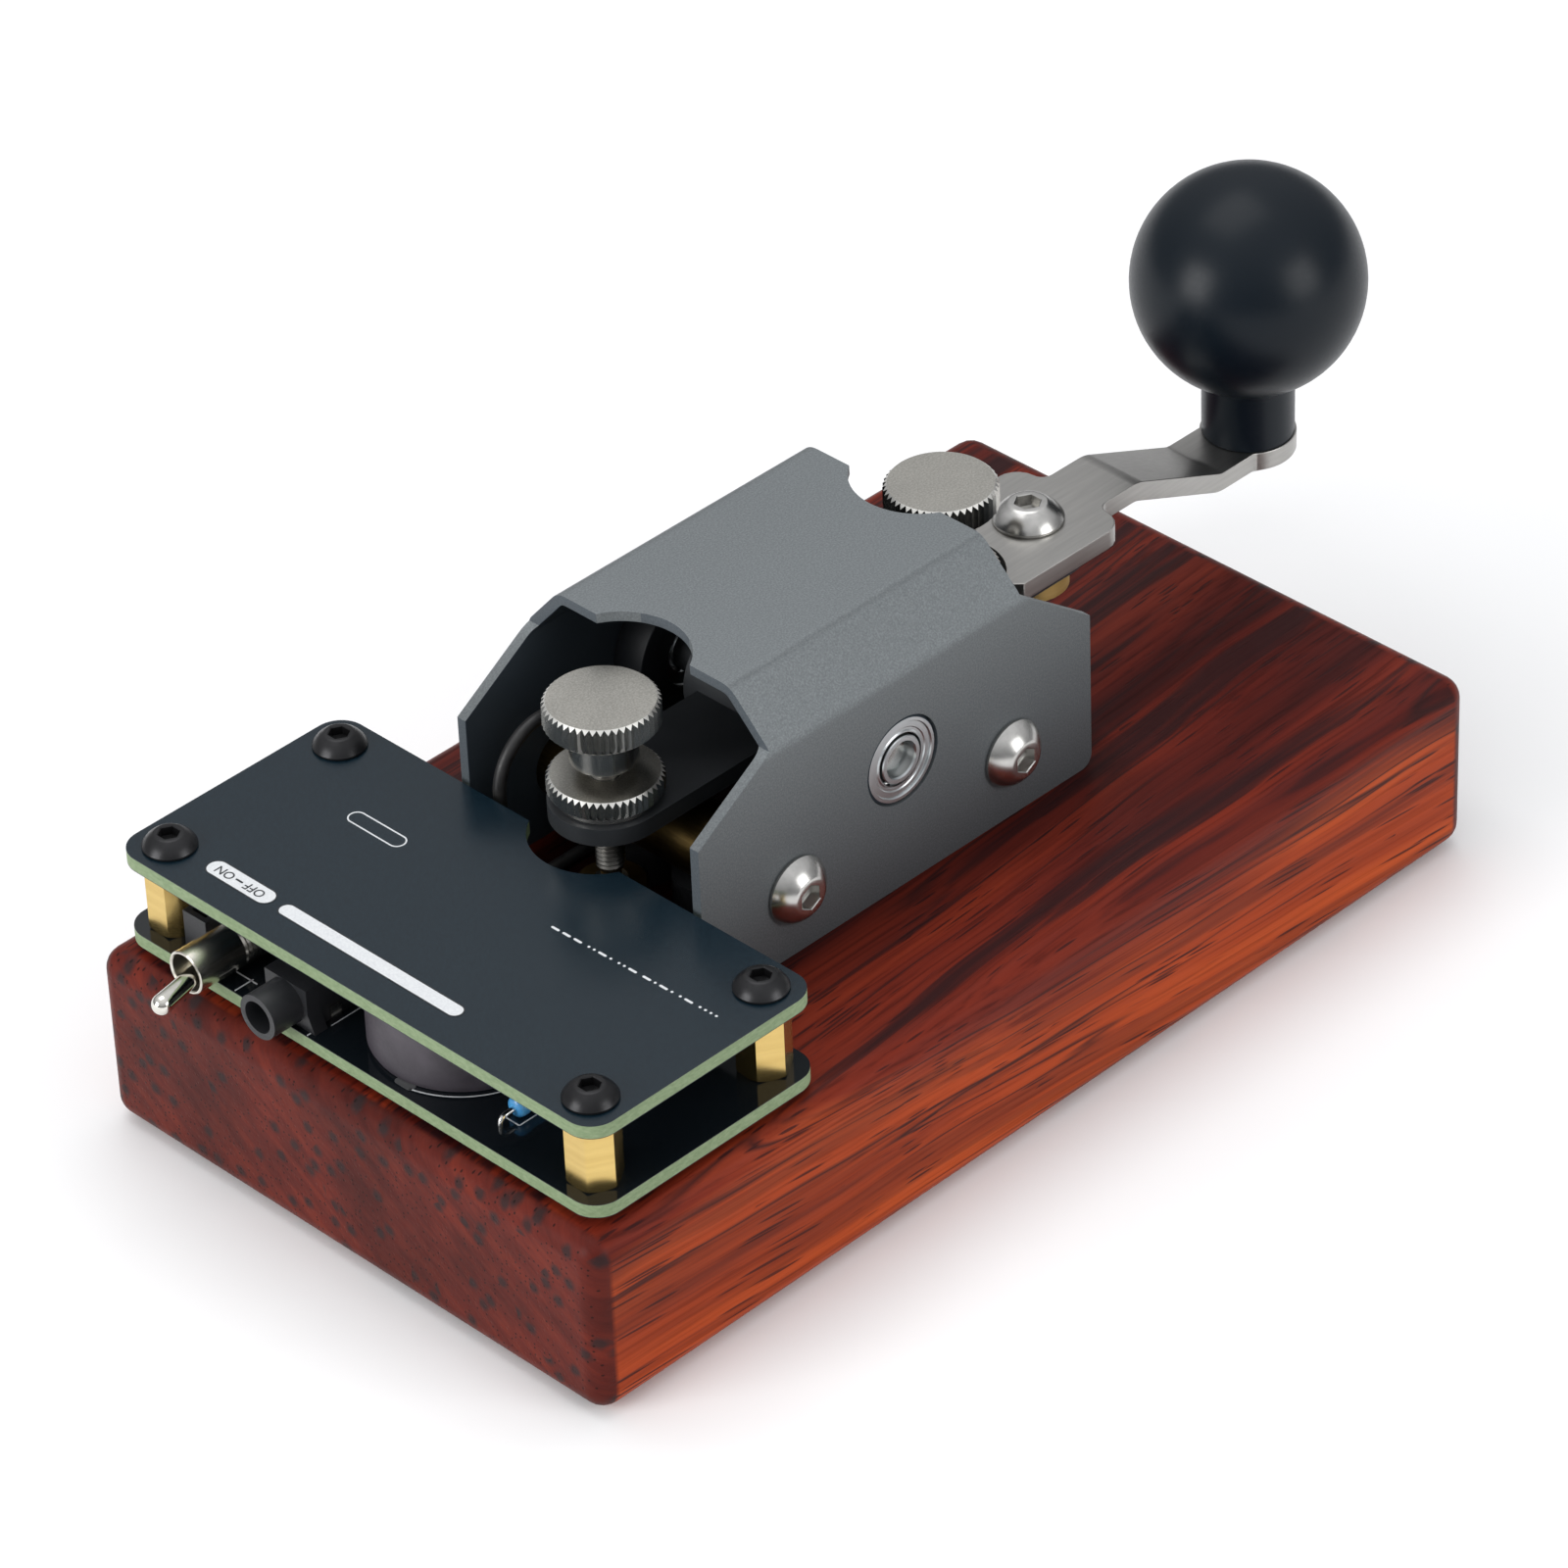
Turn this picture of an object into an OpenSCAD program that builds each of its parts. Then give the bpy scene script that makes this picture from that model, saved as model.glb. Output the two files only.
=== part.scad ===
// Straight telegraph key with a sounder board, on a wooden base.
// Millimetres. Origin: centre of the face it stands on. +X: operator's end, +Z: up.

/* [View] */
// Sub-part to draw

/* [Base] */
// Length of the wooden base
base_l = 128; // [122:1:150]
// Width of the wooden base
base_w = 72; // [70:1:90]
// Thickness of the wooden base
base_t = 20.9; // [18:0.1:26]
// Rounding of the base's edges
base_r = 2.5; // [1:0.1:4]
// Thickness of the non-slip sheet under the base
pad_t = 1; // [0.8:0.1:1.5]

/* [Cover] */
// Width over the cover's upright sides
cover_w = 34.2; // [33.6:0.1:40]
// Width of the cover's flat top
cover_top_w = 24.2; // [22:0.1:26]
// Height of the cover above the wood
cover_h = 31.7; // [30.5:0.1:36]
// Height of the upright sides above the wood
cover_side_h = 26; // [25:0.1:28]
// Thickness of the cover's sheet
cover_t = 1.2; // [1:0.1:1.5]

/* [Lever] */
// Lever's pivot, ahead of the base's rear end
pivot_back = 62.6; // [62.2:0.1:63]
// Height of the pivot above the wood
pivot_h = 15.2; // [15:0.1:16]
// Width of the lever bar
lever_w = 12; // [10:0.1:13]
// Thickness of the lever bar
lever_t = 2; // [1.6:0.1:2.4]
// Rear adjusting screw, behind the pivot
rear_arm = 24.6; // [24:0.1:24.9]
// Front adjusting screw, ahead of the pivot
front_arm = 23.9; // [23.6:0.1:24.2]
// Gap at the front contact at rest
contact_gap = 0.42; // [0.2:0.01:0.8]

/* [Handle] */
// Width of the handle plate's wide end
plate_w = 15.6; // [14:0.1:18]
// Thickness of the handle plate
plate_t = 2.2; // [1.8:0.1:2.6]
// Width of the handle's narrow arm
arm_w = 7.8; // [6:0.1:9]
// How far the arm steps down
arm_drop = 5.4; // [3:0.1:8]
// Diameter of the ball knob
knob_d = 25.2; // [20:0.1:32]
// Diameter of the knob's neck
neck_d = 10; // [8:0.1:12]

/* [Boards] */
// Length of the two boards across the base
board_l = 68.3; // [66:0.1:70]
// Width of the two boards
board_w = 30.8; // [29:0.1:31.4]
// Thickness of each board
board_t = 1.6; // [1:0.1:2]
// Length of the hex standoffs between the boards
standoff_h = 8; // [7.8:0.1:10]
// Diameter of the buzzer
buzzer_d = 19.8; // [12:0.1:21]

/* [Hidden] */
$fn = 72;

// Screw sizes: radius, head radius, head height, socket size, socket depth
m3_r = 1.5;
m4_r = 2;
m3_head_r = 2.85;
m3_head_h = 1.65;
m3_key = 2;
m4_head_r = 3.8;
m4_head_h = 2.2;
m4_key = 2.5;
key_depth_share = 0.62;
cap3_r = 2.75;
cap3_h = 3;
cap4_r = 3.5;
cap4_h = 4;
cap4_key = 3;
cap3_key = 2.5;
thread_gap = 0.03;
run_gap = 0.05;
pass_gap = 0.1;
hole_gap = 0.2;
hole_past = 0.6;
fit_gap = 0.01;
over = 1;

// Base heights
pad_proud = 0.3;
wood_z0 = pad_proud;
wood_z1 = wood_z0 + base_t;
pad_l = base_l - 16;
pad_w = base_w - 22;
pad_r = 4;
recess_z = pad_t;
sink_z = 5.6;
sink4_z = 6;
sink_gap = 0.6;
sink4_r = cap4_r + sink_gap;
sink3_r = cap3_r + sink_gap;

// Cover outline, back and ahead of the pivot
pivot_x = pivot_back - base_l / 2;
side_y = cover_w / 2;
top_y = cover_top_w / 2;
inner_y = side_y - cover_t;
cover_back = 28.6;
cover_front = 27.6;
rear_bend = 18.3;
rear_top = 18.7;
front_bend = 17.6;
front_top = 17.1;
rear_notch = 22.2;
front_notch = 21.1;
rear_shoulder = 6.5;
front_shoulder = 7.4;
notch_r = 7.5;
corner_r = 1.5;
fold_r = 1.2;
fold_steps = 5;
cover_x0 = pivot_x - cover_back;
cover_x1 = pivot_x + cover_front;
bend_z = wood_z1 + cover_side_h;
cover_z1 = wood_z1 + cover_h;

// Cross bars that hold the cover's sides
bar_arm = 15.6;
bar_up = 7.9;
bar_xs = [pivot_x - bar_arm, pivot_x + bar_arm];
bar_r = 4;
bar_z = wood_z1 + bar_up;
bar_flat = 3.6;
cover_screw_l = 8;
bar_screw_past = 1.2;
bar_foot_y = 5;
spacer_r = 4;
bar_foot_z = bar_z - bar_flat;

// Pivot and bearings, 4 x 10 x 4
pivot_z = wood_z1 + pivot_h;
axle_r = 2;
ball_bearing_r = 5;
bearing_w = 4;
bearing_sink = 0.15;
bearing_y1 = side_y - bearing_sink;
bearing_y0 = bearing_y1 - bearing_w;
ring_in_r = 2.7;
ring_out_r = 4.3;
shield_r = 3;
shield_t = 0.2;
shield_sink = 0.2;
ball_r = 0.75;
ball_count = 7;
ball_pitch_r = (ring_in_r + ring_out_r) / 2;
housing_r = 8.2;
housing_w = 4;
hub_r = 6;
hub_half = 8;
collar_r = 2.6;
axle_sink = 1.3;
axle_half = side_y - axle_sink;

// Lever heights
lever_up = 0.8;
handle_ahead = 12.8;
lever_z1 = pivot_z + lever_up;
lever_z0 = lever_z1 - lever_t;
rear_x = pivot_x - rear_arm;
front_x = pivot_x + front_arm;
handle_x = front_x + handle_ahead;
plate_z1 = lever_z1 + plate_t;
boss_r = 4.2;
boss_h = 3.8;
boss_past = 0.4;
lever_reach = lever_w / 2;

// Handle plate and arm
plate_back = 10.5;
plate_front = 6.4;
nut_notch_r = 6.5;
plate_corner = 2.6;
arm_corner = 1.3;
prong_cut = 1.5;
arm_level = 6.3;
arm_slope = 13;
arm_end = 8.5;
arm_fold_r = 2.4;
eye_rim = 0.2;
neck_h = 6;
plate_x0 = handle_x - plate_back;
plate_x1 = handle_x + plate_front;
step_x0 = plate_x1 + arm_level;
step_x1 = step_x0 + arm_slope;
knob_x = step_x1 + arm_end;
arm_z1 = plate_z1 - arm_drop;
eye_r = neck_d / 2 + eye_rim;
knob_z = arm_z1 + neck_h + knob_d / 2;
knob_thread = 12;

// Thumbscrews and their nuts
thumb_r = 6;
knurl_depth = 0.35;
knurl_count = 48;
thumb_band = 3;
thumb_hub_r = 3.5;
thumb_h = 7.3;
nut_h = 3;
nut_band = 2.2;
nut_step_r = 5.2;
rear_head_up = 4.5;
front_head_up = 5.9;
rear_head_z = lever_z1 + rear_head_up;
front_head_z = lever_z1 + front_head_up;
post_r = 3.8;
post_h = 5.5;
post_roof = 1;
post_pad_r = 1.8;
post_pad_t = 0.4;
post_z1 = wood_z1 + post_h;
post_top = post_z1 + post_pad_t;
tip_r = 1.1;
tip_h = 1.3;
tip_gap = 0.02;
rear_tip_z = post_top + tip_gap;
front_tip_z = post_top + contact_gap;

// Return spring
spring_x = (front_x + post_r + handle_x - boss_r) / 2;
spring_r = 1.7;
spring_wire = 0.22;
spring_turns = 8;
seat_r = 2.1;
seat_t = 1;
seat_pin_r = 1.1;
seat_pin_h = 3;
spring_z0 = wood_z1 + seat_t;
spring_z1 = lever_z0;

// Boards
board_behind = 4.8;
board_x1 = rear_x - board_behind;
board_x0 = board_x1 - board_w;
washer_h = 1.1;
board_z0 = wood_z1 + washer_h;
board_z1 = board_z0 + board_t;
upper_z0 = board_z1 + standoff_h;
upper_z1 = upper_z0 + board_t;
board_r = 3;
hole_in_x = 3.9;
hole_in_y = 4.1;
board_hole_r = 1.6;
board_notch_r = 7.3;
board_notch_out = 3.5;
board_notch_x = board_x1 + board_notch_out;
hex_af = 5;
standoff_bite = 3.4;
washer_r = 3;
holes = [for (x = [board_x0 + hole_in_x, board_x1 - hole_in_x], y = [-1, 1])
    [x, y * (board_l / 2 - hole_in_y)]];

// Toggle switch, placed from the board's side
switch_in = 13.75;
switch_up = 2.7;
switch_out = 3.4;
bushing_r = 2.4;
bushing_bore_r = 2.05;
bushing_bore_l = 7.5;
bushing_in = 7.1;
flip_in = 0.4;
flip_angle = 13.5;
switch_y = board_l / 2 - switch_in;
switch_z = board_z1 + switch_up;
switch_mouth_x = board_x0 - switch_out;
bushing_x1 = board_x0 + bushing_in;
flip_x = board_x0 + flip_in;
frame_t = 0.5;
frame_l = 4.5;
frame_low = 0.6;
frame_hole_r = 1.4;
collar_rim = 0.25;
collar_t = 1.2;
bat_l = 8.9;
bat_tip_r = 1.12;
bat_root_r = 0.75;
flip_ball_r = 1.4;
flip_pin_r = 0.6;
flip_pin_half = 1.65;
body_l = 8;
body_w = 6;
body_h = 5.4;
ledge_h = 0.4;
ledge_l = 1.4;

// Socket for a 3.5 mm plug, beside the switch
jack_beside = 10.45;
jack_out = 3.25;
jack_in = 0.6;
jack_nose_r = 2.5;
jack_y = switch_y - jack_beside;
jack_z = board_z1 + jack_nose_r;
jack_mouth_x = board_x0 - jack_out;
jack_bore_r = 1.8;
jack_bore_l = 13;
jack_x0 = board_x0 + jack_in;
jack_l = 12;
jack_w = 6;
jack_h = 5;
fin_l = 1.7;
fin_w = 0.9;
fin_h = 2.6;

// Small board parts, each beside the one before
buzzer_in = 11.1;
buzzer_beside = 14.55;
buzzer_h = 7.2;
buzzer_hole_r = 1.1;
resistor_in = 7.9;
resistor_beside = 13.25;
resistor_r = 1.15;
resistor_l = 6.2;
buzzer_x = board_x0 + buzzer_in;
buzzer_y = jack_y - buzzer_beside;
resistor_x = board_x0 + resistor_in;
resistor_y = buzzer_y - resistor_beside;
lead_r = 0.3;
lead_out = 1.8;
lead_bend = 0.8;
socket_l = 4.4;
socket_w = 3.4;
socket_h = 4.5;
socket_wall = 0.7;
socket_in = 1.9;
socket_side = 7.55;
socket_x = board_x0 + socket_in;
socket_y1 = board_l / 2 - socket_side;

// Wires
wire_r = 0.7;
wire_bend = 2.5;
touch = 0.02;
wire_a_in = 3.5;
wire_b_in = 5.3;
wire_on_board = 3.7;
wire_behind = 3.2;
wire_turn = 3.6;
wire_a_y = inner_y - wire_a_in;
wire_b_y = inner_y - wire_b_in;
wire_end_x = board_x1 - wire_on_board;
arch_r = (bar_xs[0] - rear_x + wire_behind) / 2;
arch_x = bar_xs[0] - arch_r;
floor_z = wood_z1 + wire_r;
deck_z = board_z1 + wire_r;

// Colours
c_wood = [0.55, 0.2, 0.13];
c_steel = [0.72, 0.72, 0.7];
c_black = [0.1, 0.1, 0.11];
c_brass = [0.78, 0.62, 0.3];
c_cover = [0.42, 0.46, 0.49];
c_board = [0.12, 0.15, 0.17];
c_nickel = [0.66, 0.65, 0.61];

// Rectangle with rounded corners, drawn flat
module rounded_flat(l, w, r) {
    square([l - 2 * r, w], center = true);
    square([l, w - 2 * r], center = true);
    for (x = [-1, 1], y = [-1, 1]) translate([x * (l / 2 - r), y * (w / 2 - r)]) circle(r);
}

// Block with every edge rounded, standing on z = 0
module rounded_block(l, w, h, r) {
    intersection() {
        linear_extrude(h) rounded_flat(l, w, r);
        translate([l / 2, 0, h / 2]) rotate([0, -90, 0]) linear_extrude(l) rounded_flat(h, w, r);
        translate([0, w / 2, h / 2]) rotate([90, 0, 0]) linear_extrude(w) rounded_flat(l, h, r);
    }
}

// Button-head screw: head above z = 0, shank below
module button_screw(r, head_r, head_h, key, length) {
    rim = 0.18 * head_h;
    flat_r = 0.52 * head_r;
    c = (head_r * head_r + rim * rim - flat_r * flat_r - head_h * head_h) / (2 * (rim - head_h));
    ball = sqrt(head_r * head_r + (rim - c) * (rim - c));
    difference() {
        union() {
            intersection() {
                cylinder(r = head_r, h = head_h);
                translate([0, 0, c]) sphere(ball);
            }
            translate([0, 0, -length]) cylinder(r = r, h = length + rim);
        }
        translate([0, 0, head_h * (1 - key_depth_share)])
            cylinder(r = key / sqrt(3), h = head_h, $fn = 6);
    }
}

// Cap screw driven from below: head below z = 0, shank above
module cap_screw(r, head_r, head_h, key, length) {
    difference() {
        union() {
            translate([0, 0, -head_h]) cylinder(r = head_r, h = head_h);
            cylinder(r = r, h = length);
        }
        translate([0, 0, -head_h - over]) cylinder(r = key / sqrt(3), h = head_h * 0.55 + over, $fn = 6);
    }
}

// Straight-knurled band, standing on z = 0
module knurled_band(h) {
    points = [for (i = [0 : 2 * knurl_count - 1])
        let (a = i * 180 / knurl_count, r = i % 2 == 0 ? thumb_r : thumb_r - knurl_depth)
        [r * cos(a), r * sin(a)]];
    lip = 0.3;
    translate([0, 0, lip]) linear_extrude(h - 2 * lip) polygon(points);
    cylinder(r = thumb_r - knurl_depth - 0.1, h = h);
}

// Thumbscrew: underside of its hub at z = 0
module thumb_screw(length) {
    translate([0, 0, thumb_h - thumb_band]) knurled_band(thumb_band);
    cylinder(r = thumb_hub_r, h = thumb_h - thumb_band + 0.5);
    translate([0, 0, -length]) cylinder(r = m3_r, h = length + 0.5);
}

// Knurled lock nut, standing on z = 0
module lock_nut() {
    difference() {
        union() {
            translate([0, 0, nut_h - nut_band]) knurled_band(nut_band);
            cylinder(r = nut_step_r, h = nut_h - nut_band + 0.5);
        }
        translate([0, 0, -over]) cylinder(r = m3_r + run_gap, h = nut_h + 2 * over);
    }
}

// Piece of a bent wire: an arc in the XZ plane about the origin
module wire_arc(bend, from, sweep) {
    rotate([90, 0, 0]) rotate([0, 0, from]) rotate_extrude(angle = sweep)
        translate([bend, 0]) circle(wire_r, $fn = 24);
}

module wire_run(length) {
    cylinder(r = wire_r, h = length, $fn = 24);
}

module wood_base() {
    color(c_wood) difference() {
        translate([0, 0, wood_z0]) rounded_block(base_l, base_w, base_t, base_r);
        translate([0, 0, wood_z0 - over]) linear_extrude(recess_z - wood_z0 + over)
            rounded_flat(pad_l, pad_w, pad_r);
        for (x = bar_xs, y = [-bar_foot_y, bar_foot_y]) translate([x, y, 0]) {
            cylinder(r = m4_r + hole_gap, h = wood_z1 + over);
            cylinder(r = sink4_r, h = sink4_z);
        }
        for (p = holes) translate([p[0], p[1], 0]) {
            cylinder(r = m3_r + hole_gap, h = wood_z1 + over);
            cylinder(r = sink3_r, h = sink_z);
        }
        for (x = [rear_x, front_x]) translate([x, 0, 0]) {
            cylinder(r = m3_r + hole_gap, h = wood_z1 + over);
            cylinder(r = sink3_r, h = sink_z);
        }
    }
}

module non_slip_pad() {
    color(c_black) linear_extrude(pad_t) rounded_flat(pad_l, pad_w, pad_r);
}

// Points of a round corner at b, between the straight lines from a and to c
function corner(a, b, c, r) =
    let (u = (a - b) / norm(a - b), v = (c - b) / norm(c - b), half = acos(u * v) / 2,
        m = b + (u + v) / norm(u + v) * r / sin(half),
        p = b + u * r / tan(half) - m, q = b + v * r / tan(half) - m,
        from = atan2(p[1], p[0]), turn = (atan2(q[1], q[0]) - from + 540) % 360 - 180)
    [for (i = [0 : fold_steps]) let (t = from + turn * i / fold_steps) m + r * [cos(t), sin(t)]];

// The same points on the other side of x = 0, in reverse order
function mirrored(points) = [for (i = [len(points) - 1 : -1 : 0]) [-points[i][0], points[i][1]]];

// Section of the folded sheet, across the base
module cover_section() {
    slope = atan((cover_z1 - bend_z) / (side_y - top_y));
    dz = cover_t * tan(slope / 2);
    dy = cover_t * tan((90 - slope) / 2);
    outside = concat([[side_y, wood_z1]],
        corner([side_y, wood_z1], [side_y, bend_z], [top_y, cover_z1], fold_r + cover_t),
        corner([side_y, bend_z], [top_y, cover_z1], [0, cover_z1], fold_r + cover_t));
    inside = concat([[inner_y, wood_z1 - over]],
        corner([inner_y, wood_z1], [inner_y, bend_z - dy], [top_y - dz, cover_z1 - cover_t], fold_r),
        corner([inner_y, bend_z - dy], [top_y - dz, cover_z1 - cover_t], [0, cover_z1 - cover_t], fold_r));
    difference() {
        polygon(concat(outside, mirrored(outside)));
        polygon(concat(inside, mirrored(inside)));
    }
}

// Side view that the folded sheet is cut to
module cover_profile() {
    rear_z = bend_z - rear_shoulder;
    front_z = bend_z - front_shoulder;
    difference() {
        polygon([[cover_x0, wood_z1], [cover_x0, rear_z], [pivot_x - rear_bend, bend_z],
            [pivot_x - rear_top, cover_z1 + over], [pivot_x + front_top, cover_z1 + over],
            [pivot_x + front_bend, bend_z], [cover_x1, front_z], [cover_x1, wood_z1]]);
        translate([cover_x1 - corner_r, wood_z1 + corner_r]) difference() {
            translate([0, -corner_r - over]) square(corner_r + over);
            circle(corner_r);
        }
    }
}

module cover() {
    color(c_cover) difference() {
        intersection() {
            translate([cover_x0 - over, 0, 0]) rotate([90, 0, 90])
                linear_extrude(cover_x1 - cover_x0 + 2 * over) cover_section();
            translate([0, side_y + over, 0]) rotate([90, 0, 0])
                linear_extrude(cover_w + 2 * over) cover_profile();
        }
        for (x = [-rear_notch, front_notch]) translate([pivot_x + x, 0, bend_z])
            cylinder(r = notch_r, h = cover_z1 - bend_z + over);
        translate([pivot_x, side_y + over, pivot_z]) rotate([90, 0, 0])
            cylinder(r = ball_bearing_r + run_gap, h = cover_w + 2 * over);
        for (x = bar_xs) translate([x, side_y + over, bar_z]) rotate([90, 0, 0])
            cylinder(r = m4_r + pass_gap, h = cover_w + 2 * over);
    }
}

module cover_screws() {
    color(c_steel) for (x = bar_xs, s = [-1, 1]) translate([x, s * side_y, bar_z]) rotate([-s * 90, 0, 0])
        button_screw(m4_r, m4_head_r, m4_head_h, m4_key, cover_screw_l);
}

module cross_bars() {
    color(c_brass) for (x = bar_xs) difference() {
        translate([x, inner_y, bar_z]) rotate([90, 0, 0]) cylinder(r = bar_r, h = 2 * inner_y);
        translate([x - bar_r, -inner_y - over, bar_z - bar_r - over])
            cube([2 * bar_r, 2 * inner_y + 2 * over, bar_r - bar_flat + over]);
        for (s = [-1, 1]) {
            translate([x, s * (inner_y + over), bar_z]) rotate([s * 90, 0, 0])
                cylinder(r = m4_r + thread_gap, h = cover_screw_l - cover_t + hole_past + over);
            translate([x, s * bar_foot_y, bar_z - bar_r - over])
                cylinder(r = m4_r + thread_gap, h = bar_r + over + bar_screw_past + hole_past);
        }
    }
}

module bar_spacers() {
    color(c_black) for (x = bar_xs, s = [-1, 1]) translate([x, s * bar_foot_y, wood_z1]) difference() {
        cylinder(r = spacer_r, h = bar_foot_z - wood_z1);
        translate([0, 0, -over]) cylinder(r = m4_r + hole_gap, h = bar_foot_z);
    }
}

module bar_screws() {
    color(c_steel) for (x = bar_xs, s = [-1, 1]) translate([x, s * bar_foot_y, sink4_z])
        cap_screw(m4_r, cap4_r, cap4_h, cap4_key, bar_z + bar_screw_past - sink4_z);
}

module bearing_housings() {
    color(c_black) for (s = [-1, 1]) translate([pivot_x, s * inner_y, pivot_z]) rotate([s * 90, 0, 0])
        difference() {
            cylinder(r = housing_r, h = housing_w);
            translate([0, 0, -over])
                cylinder(r = ball_bearing_r + fit_gap, h = inner_y - bearing_y0 + over);
            cylinder(r = ring_out_r, h = housing_w + over);
        }
}

module bearing_ring(outer, inner, width) {
    for (s = [-1, 1]) translate([pivot_x, s * bearing_y1, pivot_z]) rotate([s * 90, 0, 0]) difference() {
        cylinder(r = outer, h = width);
        translate([0, 0, -over]) cylinder(r = inner, h = width + 2 * over);
    }
}

module bearing_outer_rings() {
    color(c_steel) bearing_ring(ball_bearing_r, ring_out_r, bearing_w);
}

module bearing_inner_rings() {
    color(c_steel) bearing_ring(ring_in_r, axle_r + fit_gap, bearing_w);
}

module bearing_shields() {
    color(c_steel) for (s = [-1, 1], inset = [shield_sink, bearing_w - shield_sink - shield_t])
        translate([pivot_x, s * (bearing_y1 - inset), pivot_z]) rotate([s * 90, 0, 0]) difference() {
            cylinder(r = ring_out_r, h = shield_t);
            translate([0, 0, -over]) cylinder(r = shield_r, h = shield_t + 2 * over);
        }
}

module bearing_balls() {
    color(c_steel) for (s = [-1, 1], i = [0 : ball_count - 1])
        translate([pivot_x, s * (bearing_y1 - bearing_w / 2), pivot_z]) rotate([0, i * 360 / ball_count, 0])
            translate([ball_pitch_r, 0, 0]) sphere(ball_r, $fn = 24);
}

module axle() {
    color(c_steel) translate([pivot_x, axle_half, pivot_z]) rotate([90, 0, 0])
        cylinder(r = axle_r, h = 2 * axle_half);
}

module lever_bar() {
    color(c_black) difference() {
        union() {
            translate([0, 0, lever_z0]) linear_extrude(lever_t) {
                translate([rear_x, -lever_reach]) square([handle_x - rear_x, lever_w]);
                translate([rear_x, 0]) circle(lever_reach);
                translate([handle_x, 0]) circle(lever_reach);
            }
            translate([pivot_x, hub_half, pivot_z]) rotate([90, 0, 0])
                cylinder(r = hub_r, h = 2 * hub_half);
            translate([pivot_x, bearing_y0, pivot_z]) rotate([90, 0, 0])
                cylinder(r = collar_r, h = 2 * bearing_y0);
        }
        translate([pivot_x, side_y, pivot_z]) rotate([90, 0, 0])
            cylinder(r = axle_r + fit_gap, h = cover_w);
        for (x = [rear_x, front_x]) translate([x, 0, lever_z0 - over])
            cylinder(r = m3_r + run_gap, h = lever_t + 2 * over);
        translate([handle_x, 0, lever_z0 - over]) cylinder(r = m4_r + pass_gap, h = lever_t + 2 * over);
    }
}

module threaded_boss() {
    color(c_brass) translate([handle_x, 0, lever_z0 - boss_h]) difference() {
        cylinder(r = boss_r, h = boss_h);
        translate([0, 0, -over]) cylinder(r = m4_r + thread_gap, h = boss_h + 2 * over);
    }
}

// Handle plate seen from above, up to where its arm starts to fall
module plate_outline() {
    side = concat([[plate_w / 2 - prong_cut, plate_x0], [plate_w / 2, plate_x0 + prong_cut]],
        corner([plate_w / 2, plate_x0], [plate_w / 2, plate_x1], [0, plate_x1], plate_corner),
        corner([plate_w / 2, plate_x1], [arm_w / 2, plate_x1], [arm_w / 2, step_x0], arm_corner),
        [[arm_w / 2, plate_x1 + arm_corner + over]]);
    difference() {
        mirror([1, -1]) polygon(concat(side, mirrored(side)));
        translate([front_x, 0]) circle(nut_notch_r);
    }
}

// Side view of the arm, level, sloping and level again, with round folds
module arm_profile() {
    skew = plate_t * tan(atan(arm_drop / arm_slope) / 2);
    low_z = arm_z1 - plate_t;
    outer_r = arm_fold_r + plate_t;
    polygon(concat([[plate_x1 + arm_corner, plate_z1]],
        corner([plate_x1, plate_z1], [step_x0, plate_z1], [step_x1, arm_z1], outer_r),
        corner([step_x0, plate_z1], [step_x1, arm_z1], [knob_x, arm_z1], arm_fold_r),
        [[knob_x, arm_z1], [knob_x, low_z]],
        corner([knob_x, low_z], [step_x1 - skew, low_z], [step_x0 - skew, lever_z1], outer_r),
        corner([step_x1 - skew, low_z], [step_x0 - skew, lever_z1], [plate_x1, lever_z1], arm_fold_r),
        [[plate_x1 + arm_corner, lever_z1]]));
}

module handle_plate() {
    color(c_steel) difference() {
        union() {
            translate([0, 0, lever_z1]) linear_extrude(plate_t) plate_outline();
            translate([0, arm_w / 2, 0]) rotate([90, 0, 0]) linear_extrude(arm_w) arm_profile();
            translate([knob_x, 0, arm_z1 - plate_t]) cylinder(r = eye_r, h = plate_t);
        }
        translate([handle_x, 0, lever_z1 - over]) cylinder(r = m4_r + pass_gap, h = plate_t + 2 * over);
        translate([knob_x, 0, arm_z1 - plate_t - over])
            cylinder(r = m4_r + pass_gap, h = plate_t + 2 * over);
    }
}

module handle_screw() {
    color(c_steel) translate([handle_x, 0, plate_z1])
        button_screw(m4_r, m4_head_r, m4_head_h, m4_key, plate_t + lever_t + boss_h + boss_past);
}

module ball_knob() {
    color(c_black) difference() {
        union() {
            translate([knob_x, 0, knob_z]) sphere(knob_d / 2);
            translate([knob_x, 0, arm_z1]) cylinder(r = neck_d / 2, h = knob_z - arm_z1);
        }
        translate([knob_x, 0, arm_z1 - over])
            cylinder(r = m4_r + thread_gap, h = knob_thread + hole_past + over);
    }
}

module knob_screw() {
    color(c_steel) translate([knob_x, 0, arm_z1 - plate_t]) rotate([180, 0, 0])
        button_screw(m4_r, m4_head_r, m4_head_h, m4_key, plate_t + knob_thread);
}

module rear_contact_tip() {
    color(c_brass) translate([rear_x, 0, rear_tip_z]) cylinder(r = tip_r, h = tip_h);
}

module rear_adjust_screw() {
    color(c_nickel) translate([rear_x, 0, rear_head_z]) thumb_screw(rear_head_z - rear_tip_z - tip_h);
}

module rear_lock_nut() {
    color(c_nickel) translate([rear_x, 0, lever_z1]) lock_nut();
}

module front_contact_tip() {
    color(c_brass) translate([front_x, 0, front_tip_z]) cylinder(r = tip_r, h = tip_h);
}

module front_adjust_screw() {
    color(c_nickel) translate([front_x, 0, front_head_z]) thumb_screw(front_head_z - front_tip_z - tip_h);
}

module front_lock_nut() {
    color(c_nickel) translate([front_x, 0, lever_z1]) lock_nut();
}

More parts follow.
